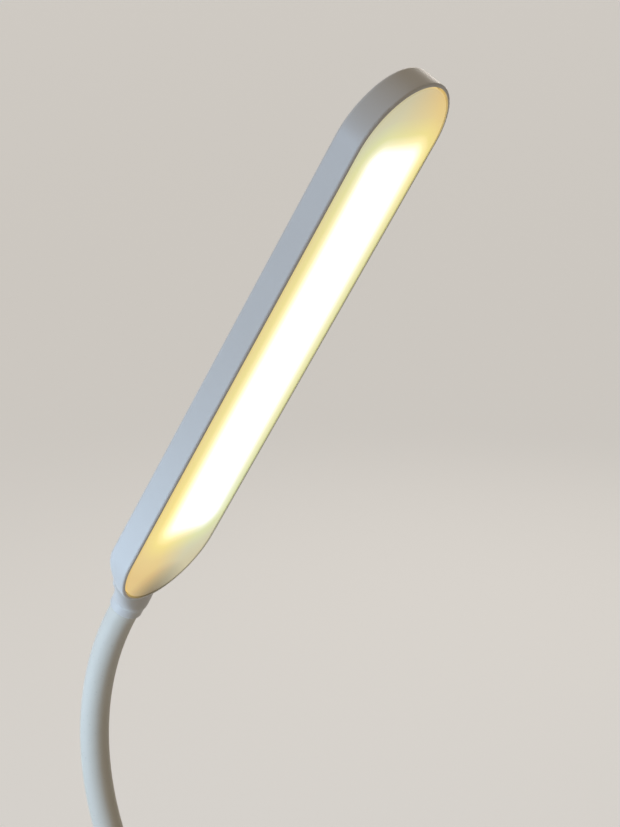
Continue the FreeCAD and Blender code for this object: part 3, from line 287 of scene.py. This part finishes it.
def extruded_silicone(name, body):
    # Silicone drawn through a die: a soft satin with faint lines along it and a little lint
    material, tree, shader = started(name, {"IOR": 1.41, "Sheen Weight": 0.06, "Sheen Roughness": 0.5})
    place = add(tree, "ShaderNodeTexCoord").outputs["UV"]
    drawn = add(tree, "ShaderNodeMapping", {"Vector": place, "Scale": (1.0, 0.03, 1.0)})
    # Die lines are near 0.1 mm apart, drawn at 0.5 mm so that they show
    lines = add(tree, "ShaderNodeTexNoise", {"Vector": drawn.outputs[0], "Scale": per(0.5), "Detail": 2.0})
    lint = add(tree, "ShaderNodeTexNoise", {"Vector": place, "Scale": per(1.1), "Detail": 1.0})
    specks = add(tree, "ShaderNodeMapRange", {"Value": lint.outputs[0], "From Min": 0.66, "From Max": 0.74})
    slow = add(tree, "ShaderNodeTexNoise", {"Vector": place, "Scale": per(18), "Detail": 2.0})
    tone = add(tree, "ShaderNodeMix", {
        0: slow.outputs[0], 6: shade(body, 0.96), 7: body}, data_type="RGBA")
    dusted = add(tree, "ShaderNodeMix", {
        0: specks.outputs[0], 6: tone.outputs[2], 7: shade(body, 0.90)}, data_type="RGBA")
    gloss = add(tree, "ShaderNodeMapRange", {"Value": lines.outputs[0], "To Min": 0.40, "To Max": 0.56})
    cut = add(tree, "ShaderNodeBump", {"Height": lines.outputs[0], "Strength": 0.4, "Distance": 0.00003})
    surface(tree, shader, dusted, gloss, cut)
    return material


def head_place(sizes):
    """Centre of the diffuser and the head's axes: along it, across it and out of the light."""
    low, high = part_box("diffuser")
    lean = sizes.head_lean
    along = Vector((0, -math.sin(lean), math.cos(lean)))
    face = Vector((0, -math.cos(lean), -math.sin(lean)))
    return (low + high) / 2, Matrix((along, face.cross(along), face)).transposed()


def opal_acrylic(name, sizes, colours):
    # Moulded opal acrylic over rows of LEDs: a burnt-out strip that melts into yellow, and cream, dimmer ends
    material, tree, shader = started(name, {"IOR": 1.49, "Emission Strength": 2.1})
    centre, axes = head_place(sizes)
    place = add(tree, "ShaderNodeTexCoord").outputs["Object"]
    local = add(tree, "ShaderNodeMapping", {
        "Vector": place, "Location": centre, "Rotation": axes.to_euler()}, vector_type="TEXTURE").outputs[0]
    flat = add(tree, "ShaderNodeVectorMath", {0: local, 1: (1, 1, 0)}, operation="MULTIPLY").outputs[0]
    middle = add(tree, "ShaderNodeVectorMath", {
        0: flat, 1: sizes.strip_shift}, operation="SUBTRACT").outputs[0]

    # Colour by the distance outside the lit strip, whose corners are round
    folded = add(tree, "ShaderNodeVectorMath", {0: middle}, operation="ABSOLUTE").outputs[0]
    half = Vector((sizes.strip_length / 2, sizes.strip_width / 2, 0))
    corner = half - Vector((sizes.strip_round, sizes.strip_round, 0))
    beyond = add(tree, "ShaderNodeVectorMath", {0: folded, 1: corner}, operation="SUBTRACT").outputs[0]
    outside = add(tree, "ShaderNodeVectorMath", {0: beyond, 1: (0, 0, 0)}, operation="MAXIMUM").outputs[0]
    distance = add(tree, "ShaderNodeVectorMath", {0: outside}, operation="LENGTH").outputs["Value"]
    reach = sizes.strip_round + GLOW_STEPS[-1]
    spread = add(tree, "ShaderNodeMapRange", {"Value": distance, "From Max": reach}).outputs[0]
    at = [(sizes.strip_round + step) / reach for step in GLOW_STEPS]
    bands = (colours.glow_core, colours.glow_halo, colours.glow_side, colours.glow_end, colours.glow_tip)
    glow = add(tree, "ShaderNodeValToRGB", {"Fac": spread}, stops=list(zip(at, bands))).outputs[0]

    # Two facing corners look warmer and two cooler, as light leaves phosphor at a slant
    divisor = half + Vector((0, 0, 1))
    shares = add(tree, "ShaderNodeVectorMath", {0: middle, 1: divisor}, operation="DIVIDE").outputs[0]
    share = add(tree, "ShaderNodeSeparateXYZ", {0: shares}).outputs
    ends = add(tree, "ShaderNodeMath", {0: share[0], 1: TINT_POWER}, operation="POWER").outputs[0]
    lean = add(tree, "ShaderNodeMath", {0: ends, 1: TINT_LEAN_SHARE}, operation="SUBTRACT").outputs[0]
    slant = add(tree, "ShaderNodeMath", {0: lean, 1: share[1]}, operation="MULTIPLY").outputs[0]
    cool = add(tree, "ShaderNodeMapRange", {"Value": slant, "From Min": -1.0}).outputs[0]
    tint = add(tree, "ShaderNodeMix", {
        0: cool, 6: colours.warm_corner, 7: colours.cool_corner}, data_type="RGBA").outputs[2]
    tinted = add(tree, "ShaderNodeMix", {
        0: 1.0, 6: glow, 7: tint}, data_type="RGBA", blend_type="MULTIPLY").outputs[2]

    # The leads and the ferrule behind the neck end keep light from it
    entry = add(tree, "ShaderNodeVectorMath", {
        0: flat, 1: sizes.entry_place}, operation="DISTANCE").outputs["Value"]
    lit = add(tree, "ShaderNodeMapRange", {
        "Value": entry, "From Min": sizes.entry_dark, "From Max": sizes.entry_edge,
        "To Min": ENTRY_LIGHT_SHARE}).outputs[0]
    shaded = add(tree, "ShaderNodeVectorMath", {0: tinted, "Scale": lit}, operation="SCALE").outputs[0]
    tree.links.new(shaded, shader.inputs["Emission Color"])
    textured(tree, shader, place, (shade(colours.opal, 0.97), colours.opal),
             mottle=30, grit=0.5, depth=0.00001, rough=(0.34, 0.44))
    return material


def gloss_reflector(name, body):
    # Polystyrene moulded in a polished tool: bright gloss white with a slight ripple
    material, tree, shader = started(name, {"IOR": 1.59})
    place = add(tree, "ShaderNodeTexCoord").outputs["Object"]
    textured(tree, shader, place, (shade(body, 0.97), body),
             mottle=12, grit=2.0, depth=0.00004, rough=(0.10, 0.18))
    return material


def masked_board(name, mask, track):
    # Solder mask printed over copper: an even, slightly wet gloss with tracks standing just proud
    material, tree, shader = started(name, {"IOR": 1.52})
    place = add(tree, "ShaderNodeTexCoord").outputs["Object"]
    cells = add(tree, "ShaderNodeTexVoronoi", {"Vector": place, "Scale": per(3)}, distance="MANHATTAN")
    proud = add(tree, "ShaderNodeMapRange", {
        "Value": cells.outputs["Distance"], "From Min": 0.30, "From Max": 0.36}).outputs[0]
    haze = add(tree, "ShaderNodeTexNoise", {"Vector": place, "Scale": per(0.8), "Detail": 2.0}).outputs[0]
    tone = add(tree, "ShaderNodeMix", {0: proud, 6: mask, 7: track}, data_type="RGBA")
    gloss = add(tree, "ShaderNodeMapRange", {"Value": haze, "To Min": 0.22, "To Max": 0.36})
    edge = add(tree, "ShaderNodeBump", {"Height": proud, "Strength": 0.5, "Distance": 0.00004})
    surface(tree, shader, tone, gloss, edge)
    return material


def cast_phosphor(name, body):
    # Silicone cast full of phosphor powder: an egg-yellow, faintly grainy dome of light
    material, tree, shader = started(name, {
        "IOR": 1.50, "Emission Color": linear("#FFE9A8"), "Emission Strength": 1.0})
    place = add(tree, "ShaderNodeTexCoord").outputs["Object"]
    textured(tree, shader, place, (shade(body, 0.85), body),
             mottle=1.2, grit=0.2, depth=0.00002, rough=(0.22, 0.34))
    return material


def zinc_plated_steel(name):
    # Steel plated with bright zinc: pale, slightly blue metal with turned lines and a soft bloom
    material, tree, shader = started(name, {"Metallic": 1.0})
    place = add(tree, "ShaderNodeTexCoord").outputs["Object"]
    tones = (linear("#A9ADB2"), linear("#C9CDD1"))
    brushed(tree, shader, place, tones,
            rough=(0.22, 0.40), stretch=(1.0, 1.0, 6.0), grit=0.8, depth=0.00001)
    return material


def rolled_steel(name):
    # Mild steel blanked from rolled sheet: grey, grained one way, with duller patches of mill scale
    material, tree, shader = started(name, {"Metallic": 1.0})
    place = add(tree, "ShaderNodeTexCoord").outputs["Object"]
    tones = (linear("#7F8184"), linear("#A4A6A8"))
    brushed(tree, shader, place, tones,
            rough=(0.34, 0.58), stretch=(0.08, 1.0, 1.0), grit=1.0, depth=0.00003)
    return material


def turned_brass(name):
    # Brass turned on a lathe: warm yellow metal with fine feed lines round it
    material, tree, shader = started(name, {"Metallic": 1.0})
    place = add(tree, "ShaderNodeTexCoord").outputs["Object"]
    tones = (linear("#C9A24E"), linear("#E3C77E"))
    brushed(tree, shader, place, tones,
            rough=(0.18, 0.34), stretch=(0.06, 1.0, 1.0), grit=0.5, depth=0.00001)
    return material


def drawn_stainless(name):
    # Stainless sheet drawn to a shell: bright grey with faint lines along the draw
    material, tree, shader = started(name, {"Metallic": 1.0})
    place = add(tree, "ShaderNodeTexCoord").outputs["Object"]
    tones = (linear("#B4B6B9"), linear("#D2D3D5"))
    brushed(tree, shader, place, tones,
            rough=(0.20, 0.34), stretch=(1.0, 0.10, 1.0), grit=0.4, depth=0.00001)
    return material


def wound_spring_steel(name):
    # Steel wire wound into a flexible tube: dark between its turns, bright and oily on their crowns
    material, tree, shader = started(name, {"Metallic": 1.0})
    place = add(tree, "ShaderNodeTexCoord").outputs["UV"]
    tones = (linear("#6E7073"), linear("#9EA0A3"))
    brushed(tree, shader, place, tones,
            rough=(0.24, 0.42), stretch=(0.05, 1.0, 1.0), grit=0.6, depth=0.00002)
    return material


def ribbed_rubber(name):
    # Rubber moulded with ribs for grip: near black and dull, with a grey bloom on the crowns of the ribs
    material, tree, shader = started(name, {"IOR": 1.52})
    place = add(tree, "ShaderNodeTexCoord").outputs["Object"]
    ribs = add(tree, "ShaderNodeTexWave", {
        "Vector": place, "Scale": per(2.4) / (2 * math.pi)}, bands_direction="X")
    bloom = add(tree, "ShaderNodeTexNoise", {"Vector": place, "Scale": per(6), "Detail": 4.0}).outputs[0]
    worn = add(tree, "ShaderNodeMath", {0: ribs.outputs["Fac"], 1: bloom}, operation="MULTIPLY").outputs[0]
    tone = add(tree, "ShaderNodeMix", {0: worn, 6: linear("#1A1A1B"), 7: linear("#3A3A3B")}, data_type="RGBA")
    gloss = add(tree, "ShaderNodeMapRange", {"Value": bloom, "To Min": 0.62, "To Max": 0.84})
    form = add(tree, "ShaderNodeBump", {"Height": ribs.outputs["Fac"], "Strength": 0.8, "Distance": 0.0004})
    surface(tree, shader, tone, gloss, form)
    return material


def foamed_tape(name):
    # Closed-cell foam with adhesive faces: charcoal, matt and open-pored at its cut edge
    material, tree, shader = started(name, {"IOR": 1.45})
    place = add(tree, "ShaderNodeTexCoord").outputs["Object"]
    textured(tree, shader, place, (linear("#2B2B2D"), linear("#454548")),
             mottle=3, grit=0.5, depth=0.0002, rough=(0.78, 0.95))
    return material


def pouch_foil(name):
    # Aluminium foil laminated under nylon: silvery grey with soft creases from forming
    material, tree, shader = started(name, {"Metallic": 0.75, "IOR": 1.53})
    place = add(tree, "ShaderNodeTexCoord").outputs["Object"]
    textured(tree, shader, place, (linear("#AEB1B6"), linear("#C9CCD0")),
             mottle=14, grit=7, depth=0.0004, rough=(0.26, 0.42))
    return material


def moulded_resin(name):
    # Glass-filled resin moulded black: matt with a grey flow bloom
    material, tree, shader = started(name, {"IOR": 1.55})
    place = add(tree, "ShaderNodeTexCoord").outputs["Object"]
    textured(tree, shader, place, (linear("#161617"), linear("#262628")),
             mottle=2.5, grit=0.3, depth=0.00002, rough=(0.42, 0.62))
    return material


def extruded_pvc(name, body):
    # Soft PVC drawn over wire: smooth, slightly waxy, scuffed a little along its length
    material, tree, shader = started(name, {"IOR": 1.53})
    place = add(tree, "ShaderNodeTexCoord").outputs["Object"]
    textured(tree, shader, place, (shade(body, 0.90), body),
             mottle=5, grit=0.6, depth=0.00002, rough=(0.34, 0.50))
    return material


def clear_acrylic(name):
    # Clear acrylic moulded as a light pipe: glassy, with a faint ripple in its polished face
    material, tree, shader = started(name, {
        "IOR": 1.49, "Transmission Weight": 0.9, "Base Color": linear("#F2F6F6")})
    place = add(tree, "ShaderNodeTexCoord").outputs["Object"]
    ripple = add(tree, "ShaderNodeTexNoise", {"Vector": place, "Scale": per(1.5), "Detail": 1.0}).outputs[0]
    gloss = add(tree, "ShaderNodeMapRange", {"Value": ripple, "To Min": 0.04, "To Max": 0.12})
    wave = add(tree, "ShaderNodeBump", {"Height": ripple, "Strength": 0.3, "Distance": 0.00003})
    tree.links.new(gloss.outputs[0], shader.inputs["Roughness"])
    tree.links.new(wave.outputs[0], shader.inputs["Normal"])
    return material


def finish(name, make, *values):
    """The material of this name, made on its first use."""
    return bpy.data.materials.get(name) or make(name, *values)


def dress(material, *names):
    """Puts a material on CAD nodes."""
    for name in names:
        for slot in NODES[name].material_slots:
            slot.material = material


def neck_runs(sizes):
    """Lengths of the neck's stretches and how far each one turns forward."""
    back = sizes.lean_back
    fore = sizes.lean_back + sizes.head_lean
    return [(sizes.neck_rise, 0), (sizes.lower_bend * back, -back), (sizes.neck_straight, 0),
            (sizes.upper_bend * fore, fore), (sizes.neck_tip, 0)]


def neck_length(sizes):
    return sum(run for run, turn in neck_runs(sizes))


def neck_at(sizes, s):
    """Point on the neck's middle line this far above its foot, and its heading there."""
    point = Vector((0, sizes.foot_y, sizes.foot_z))
    lean = 0.0
    left = s
    for run, turn in neck_runs(sizes):
        go = min(left, run)
        end = lean + turn * go / run
        if turn:
            point += Vector((0, math.cos(end) - math.cos(lean), math.sin(end) - math.sin(lean))) * run / turn
        else:
            point += Vector((0, -math.sin(lean), math.cos(lean))) * go
        lean = end
        left -= go
        if left <= 0:
            break
    heading = Vector((0, -math.sin(lean), math.cos(lean)))
    return point + heading * left, heading


def steps(start, end, size):
    """Even places from start to end, about this far apart."""
    count = max(1, round((end - start) / size))
    return [start + (end - start) * n / count for n in range(count + 1)]


def skin(form, sizes, places, sides, radius):
    """Rings of points round the neck's middle line."""
    rings = []
    for s in places:
        point, heading = neck_at(sizes, s)
        across = heading.cross(SIDE)
        ring = []
        for n in range(sides):
            turn = 2 * math.pi * n / sides
            outward = SIDE * math.cos(turn) + across * math.sin(turn)
            ring.append(form.verts.new(point + outward * radius(s, turn)))
        rings.append(ring)
    return rings


def neck_tube(name, sizes, places, sides, outer, inner=None):
    """Mesh tube along the neck, mapped by its length and its turn, with square ends."""
    form = bmesh.new()
    mapped = form.loops.layers.uv.new("around_and_along")
    skins = [skin(form, sizes, places, sides, radius) for radius in (outer, inner) if radius]
    for inside, rings in enumerate(skins):
        girth = 2 * math.pi * outer(places[0], 0) / sides
        for low, high, s, next_s in zip(rings, rings[1:], places, places[1:]):
            for n in range(sides):
                following = (n + 1) % sides
                corners = [(low[n], n, s), (high[n], n, next_s),
                           (high[following], n + 1, next_s), (low[following], n + 1, s)]
                if inside:
                    corners.reverse()
                face = form.faces.new([corner[0] for corner in corners])
                face.smooth = True
                for loop, corner in zip(face.loops, corners):
                    loop[mapped].uv = (corner[1] * girth, corner[2])
    for end in (0, -1):
        ring = skins[0][end]
        if inner:
            for n in range(sides):
                following = (n + 1) % sides
                form.faces.new([ring[n], ring[following], skins[1][end][following], skins[1][end][n]])
        else:
            form.faces.new(ring)
        for n in range(sides):
            form.edges.get((ring[n], ring[(n + 1) % sides])).smooth = False
    bmesh.ops.recalc_face_normals(form, faces=form.faces)
    mesh = bpy.data.meshes.new(name)
    form.to_mesh(mesh)
    form.free()
    made = bpy.data.objects.new(name, mesh)
    bpy.context.scene.collection.objects.link(made)
    return made


def neck_pieces(sizes, stem, fineness, material, nodes, outer, inner=None, below=0, beyond=0, lip=0):
    """One tube round each pivot, from the length below it to the length above.

    The first may start below the sleeve and the last end beyond it. A lip adds rings that round both ends.
    """
    size, sides = fineness
    count = len(PIVOTS)
    pitch = neck_length(sizes) / count
    for n in range(count):
        low = n * pitch
        high = low + pitch
        start = low - below if n == 0 else low
        end = high + beyond if n == count - 1 else high
        places = steps(start, end, size)
        if lip and n == 0:
            places[1:1] = [start + lip * share for share in LIP_SHARES]
        if lip and n == count - 1:
            places[-1:-1] = [end - lip * share for share in reversed(LIP_SHARES)]
        made = neck_tube("%s_%d" % (stem, n + 1), sizes, places, sides, outer, inner)
        made.data.materials.append(material)
        neck_at(sizes, low)[0]
        neck_at(sizes, high)[0]
        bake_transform(made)
        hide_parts(*nodes(n))


class LAMP_OT_head_housing(bpy.types.Operator):
    """Finishes the head's moulded housing and the brass ferrule and screws that hold it on the neck"""
    bl_idname = "lamp.head_housing"
    bl_label = "Head housing"

    def execute(self, context):
        colours = context.scene.lamp_colours
        dress(finish("abs_moulded_white", moulded_abs, colours.body), "head_housing")
        dress(finish("brass_turned", turned_brass), "head_ferrule")
        dress(finish("steel_zinc_plated", zinc_plated_steel), "neck_set_screws")
        return {"FINISHED"}


class LAMP_OT_diffuser(bpy.types.Operator):
    """Lights the opal diffuser as the LEDs behind it do"""
    bl_idname = "lamp.diffuser"
    bl_label = "Diffuser"

    def execute(self, context):
        scene = context.scene
        dress(finish("acrylic_opal_moulded", opal_acrylic, scene.lamp_sizes, scene.lamp_colours), "diffuser")
        return {"FINISHED"}


class LAMP_OT_light_engine(bpy.types.Operator):
    """Finishes the reflector, LED board, LEDs and wiring under the diffuser"""
    bl_idname = "lamp.light_engine"
    bl_label = "Light engine"

    def execute(self, context):
        dress(finish("polystyrene_polished_white", gloss_reflector, linear("#F1F1EE")), "reflector_tray")
        dress(finish("solder_mask_white", masked_board, linear("#E8E8E2"), linear("#DCDBD2")), "led_board")
        dress(finish("phosphor_cast_silicone", cast_phosphor, linear("#EFC94C")), "led_chips")
        dress(finish("steel_zinc_plated", zinc_plated_steel), "led_board_screws")
        dress(finish("pvc_extruded_white", extruded_pvc, linear(JACKET_WHITE)), "led_leads")
        return {"FINISHED"}


class LAMP_OT_neck_sleeve(bpy.types.Operator):
    """Makes the silicone sleeve, one length round each pivot of the neck"""
    bl_idname = "lamp.neck_sleeve"
    bl_label = "Neck sleeve"

    def execute(self, context):
        sizes = context.scene.lamp_sizes
        whole = neck_length(sizes)
        outside = sizes.sleeve_diameter / 2
        lip = sizes.sleeve_lip

        def outer(s, turn):
            near = min(s, whole - s, lip)
            return outside - lip + math.sqrt(max(0.0, lip * lip - (lip - near) ** 2))

        def inner(s, turn):
            return outside - sizes.sleeve_wall

        material = finish("silicone_extruded_white", extruded_silicone, context.scene.lamp_colours.sleeve)
        neck_pieces(sizes, "sleeve", SLEEVE_MESH, material,
                    lambda n: ("neck_sleeve_%d" % n, "neck_sleeve_%d" % (n + 1)), outer, inner, lip=lip)
        return {"FINISHED"}


class LAMP_OT_neck_core(bpy.types.Operator):
    """Makes the wound steel core inside the sleeve, its wire turns running up it as a screw"""
    bl_idname = "lamp.neck_core"
    bl_label = "Neck core"

    def execute(self, context):
        sizes = context.scene.lamp_sizes
        crown = sizes.core_diameter / 2
        wire = sizes.wire_pitch / 2

        def outer(s, turn):
            along = (s / sizes.wire_pitch - turn / (2 * math.pi)) % 1 - 0.5
            return crown - wire + wire * math.sqrt(1 - (2 * WIRE_SHOWN_SHARE * along) ** 2)

        def inner(s, turn):
            return sizes.core_bore / 2

        material = finish("spring_steel_wound", wound_spring_steel)
        neck_pieces(sizes, "core", CORE_MESH, material,
                    lambda n: ("neck_core_%d" % n, "neck_core_%d" % (n + 1)), outer, inner)
        return {"FINISHED"}


class LAMP_OT_neck_lead(bpy.types.Operator):
    """Makes the two-core lead that runs through the neck"""
    bl_idname = "lamp.neck_lead"
    bl_label = "Neck lead"

    def execute(self, context):
        sizes = context.scene.lamp_sizes

        def outer(s, turn):
            return sizes.lead_diameter / 2

        material = finish("pvc_extruded_white", extruded_pvc, linear(JACKET_WHITE))
        neck_pieces(sizes, "lead", LEAD_MESH, material,
                    lambda n: ("lead_cable",), outer, below=sizes.lead_foot, beyond=sizes.lead_head)
        return {"FINISHED"}


class LAMP_OT_base_shell(bpy.types.Operator):
    """Finishes the base's moulded shell, cover and collar"""
    bl_idname = "lamp.base_shell"
    bl_label = "Base shell"

    def execute(self, context):
        colours = context.scene.lamp_colours
        white = finish("abs_moulded_white", moulded_abs, colours.body)
        dress(white, "base_shell", "base_cover", "base_collar")
        return {"FINISHED"}


class LAMP_OT_base_weight(bpy.types.Operator):
    """Finishes the ballast plate, the rubber foot and their screws"""
    bl_idname = "lamp.base_weight"
    bl_label = "Base weight and foot"

    def execute(self, context):
        dress(finish("steel_rolled_blanked", rolled_steel), "ballast_plate")
        dress(finish("rubber_moulded_ribbed", ribbed_rubber), "foot_pad")
        dress(finish("steel_zinc_plated", zinc_plated_steel), "ballast_screws", "cover_screws")
        return {"FINISHED"}


class LAMP_OT_neck_fixing(bpy.types.Operator):
    """Finishes the ferrule, washer and nut that hold the neck in the base"""
    bl_idname = "lamp.neck_fixing"
    bl_label = "Neck fixing"

    def execute(self, context):
        dress(finish("brass_turned", turned_brass), "base_ferrule")
        dress(finish("steel_zinc_plated", zinc_plated_steel), "lock_washer", "lock_nut")
        return {"FINISHED"}


class LAMP_OT_battery(bpy.types.Operator):
    """Finishes the pouch cell, its foam pad and its leads"""
    bl_idname = "lamp.battery"
    bl_label = "Battery"

    def execute(self, context):
        dress(finish("foil_laminated_pouch", pouch_foil), "battery_cell")
        dress(finish("foam_closed_cell", foamed_tape), "battery_pad")
        dress(finish("pvc_extruded_red", extruded_pvc, linear("#B3261E")), "battery_leads")
        return {"FINISHED"}


class LAMP_OT_charge_board(bpy.types.Operator):
    """Finishes the charge board, its socket and its wiring"""
    bl_idname = "lamp.charge_board"
    bl_label = "Charge board"

    def execute(self, context):
        green = finish("solder_mask_green", masked_board, linear(MASK_GREEN), linear(TRACK_GREEN))
        dress(green, "charge_board")
        dress(finish("stainless_drawn", drawn_stainless), "usb_socket")
        dress(finish("resin_moulded_black", moulded_resin), "usb_tongue", "board_parts")
        dress(finish("pvc_extruded_white", extruded_pvc, linear(JACKET_WHITE)), "driver_leads")
        dress(finish("steel_zinc_plated", zinc_plated_steel), "charge_board_screws")
        return {"FINISHED"}


class LAMP_OT_control_board(bpy.types.Operator):
    """Finishes the control board, its switch and its cable"""
    bl_idname = "lamp.control_board"
    bl_label = "Control board"

    def execute(self, context):
        green = finish("solder_mask_green", masked_board, linear(MASK_GREEN), linear(TRACK_GREEN))
        dress(green, "control_board")
        dress(finish("resin_moulded_black", moulded_resin), "tact_switch", "switch_plunger")
        dress(finish("pvc_extruded_white", extruded_pvc, linear(JACKET_WHITE)), "control_cable")
        dress(finish("steel_zinc_plated", zinc_plated_steel), "control_board_screws")
        return {"FINISHED"}


class LAMP_OT_power_button(bpy.types.Operator):
    """Finishes the push button and the indicator's light pipe"""
    bl_idname = "lamp.power_button"
    bl_label = "Button and indicator"

    def execute(self, context):
        colours = context.scene.lamp_colours
        dress(finish("abs_moulded_button", moulded_abs, colours.button), "power_button")
        dress(finish("acrylic_clear_moulded", clear_acrylic), "indicator_lens")
        return {"FINISHED"}


def seen_directly(tree):
    """One for rays from the camera, mirrors and glass, zero for the rest."""
    path = add(tree, "ShaderNodeLightPath").outputs
    seen = path["Is Camera Ray"]
    for ray in ("Is Glossy Ray", "Is Transmission Ray"):
        seen = add(tree, "ShaderNodeMath", {0: seen, 1: path[ray]}, operation="MAXIMUM").outputs[0]
    return seen


def painted_floor(name, paint):
    # Floor rolled with matt emulsion: plain and pale, lifted a little where it is looked at
    material, tree, shader = started(name, {"IOR": 1.5})
    place = add(tree, "ShaderNodeTexCoord").outputs["Object"]
    textured(tree, shader, place, (shade(paint, 0.985), paint),
             mottle=400, grit=1.5, depth=0.00005, rough=(0.82, 0.92))
    lift = add(tree, "ShaderNodeMath", {
        0: seen_directly(tree), 1: FLOOR_LIFT}, operation="MULTIPLY").outputs[0]
    glow = add(tree, "ShaderNodeEmission", {"Color": paint, "Strength": lift})
    both = add(tree, "ShaderNodeAddShader", {0: shader.outputs[0], 1: glow.outputs[0]})
    tree.links.new(both.outputs[0], tree.nodes["Material Output"].inputs["Surface"])
    return material


def softbox(name, place, target, size, power, tint, spread):
    """A square lamp that shines from a place toward a target, its beam kept within a spread by a grid."""
    data = bpy.data.lights.new(name, "AREA")
    data.size = size
    data.energy = power
    data.spread = math.radians(spread)
    data.color = linear(tint)[:3]
    made = bpy.data.objects.new(name, data)
    made.location = place
    made.rotation_euler = (Vector(target) - Vector(place)).to_track_quat("-Z", "Y").to_euler()
    made.visible_camera = False
    bpy.context.scene.collection.objects.link(made)


class LAMP_OT_stage(bpy.types.Operator):
    """Sets up the pale floor, the soft light and the camera"""
    bl_idname = "lamp.stage"
    bl_label = "Stage"

    def execute(self, context):
        scene = context.scene
        paint = scene.lamp_colours.floor
        form = bmesh.new()
        bmesh.ops.create_circle(form, cap_ends=True, segments=96, radius=FLOOR_RADIUS)
        mesh = bpy.data.meshes.new("floor")
        form.to_mesh(mesh)
        form.free()
        floor = bpy.data.objects.new("floor", mesh)
        floor.data.materials.append(finish("floor_emulsion_pale", painted_floor, paint))
        scene.collection.objects.link(floor)

        for lamp in LAMPS:
            softbox(*lamp)
        world = bpy.data.worlds.new("room")
        world.use_nodes = True
        tree = world.node_tree
        tree.nodes.clear()
        # The room is brighter on the window's side
        way = add(tree, "ShaderNodeTexCoord").outputs["Generated"]
        facing = add(tree, "ShaderNodeVectorMath", {
            0: way, 1: ROOM_BRIGHT_WAY}, operation="DOT_PRODUCT").outputs["Value"]
        level = add(tree, "ShaderNodeMapRange", {
            "Value": facing, "From Min": -1.0, "To Min": ROOM_LEVELS[0], "To Max": ROOM_LEVELS[1]}).outputs[0]
        room = add(tree, "ShaderNodeBackground", {"Color": linear(ROOM_TINT), "Strength": level})
        wall = add(tree, "ShaderNodeBackground", {
            "Color": scene.lamp_colours.backdrop, "Strength": BACKDROP_LEVEL})
        both = add(tree, "ShaderNodeMixShader", {
            0: seen_directly(tree), 1: room.outputs[0], 2: wall.outputs[0]})
        add(tree, "ShaderNodeOutputWorld", {"Surface": both.outputs[0]})
        scene.world = world

        data = bpy.data.cameras.new("camera")
        data.lens = CAMERA_LENS
        data.sensor_width = CAMERA_SENSOR
        data.clip_start = CAMERA_NEAR
        camera = bpy.data.objects.new("camera", data)
        camera.location = CAMERA_PLACE
        camera.rotation_euler = Vector(CAMERA_WAY).to_track_quat("-Z", "Y").to_euler()
        scene.collection.objects.link(camera)
        scene.camera = camera
        scene.view_settings.view_transform = "Standard"
        return {"FINISHED"}


class LAMP_PT_pieces(bpy.types.Panel):
    """Lists the lamp's pieces, sizes and colours"""
    bl_idname = "LAMP_PT_pieces"
    bl_label = "LED Table Lamp"
    bl_space_type = "VIEW_3D"
    bl_region_type = "UI"
    bl_category = "Lamp"

    def draw(self, context):
        for piece in PIECES:
            self.layout.operator(piece.bl_idname)
        for group in (context.scene.lamp_sizes, context.scene.lamp_colours):
            box = self.layout.box()
            for label in group.__annotations__:
                box.prop(group, label)


PIECES = (
    LAMP_OT_stage, LAMP_OT_head_housing, LAMP_OT_diffuser, LAMP_OT_light_engine, LAMP_OT_neck_sleeve,
    LAMP_OT_neck_core, LAMP_OT_neck_lead, LAMP_OT_base_shell, LAMP_OT_base_weight, LAMP_OT_neck_fixing,
    LAMP_OT_battery, LAMP_OT_charge_board, LAMP_OT_control_board, LAMP_OT_power_button)
CLASSES = (LampSizes, LampColours) + PIECES + (LAMP_PT_pieces,)


def register():
    for made in CLASSES:
        bpy.utils.register_class(made)
    bpy.types.Scene.lamp_sizes = bpy.props.PointerProperty(type=LampSizes)
    bpy.types.Scene.lamp_colours = bpy.props.PointerProperty(type=LampColours)


def unregister():
    del bpy.types.Scene.lamp_colours
    del bpy.types.Scene.lamp_sizes
    for made in reversed(CLASSES):
        bpy.utils.unregister_class(made)


def main():
    register()
    bpy.ops.lamp.stage()
    bpy.ops.lamp.head_housing()
    bpy.ops.lamp.diffuser()
    bpy.ops.lamp.light_engine()
    bpy.ops.lamp.neck_sleeve()
    bpy.ops.lamp.neck_core()
    bpy.ops.lamp.neck_lead()
    bpy.ops.lamp.base_shell()
    bpy.ops.lamp.base_weight()
    bpy.ops.lamp.neck_fixing()
    bpy.ops.lamp.battery()
    bpy.ops.lamp.charge_board()
    bpy.ops.lamp.control_board()
    bpy.ops.lamp.power_button()


if __name__ == "__main__":
    main()
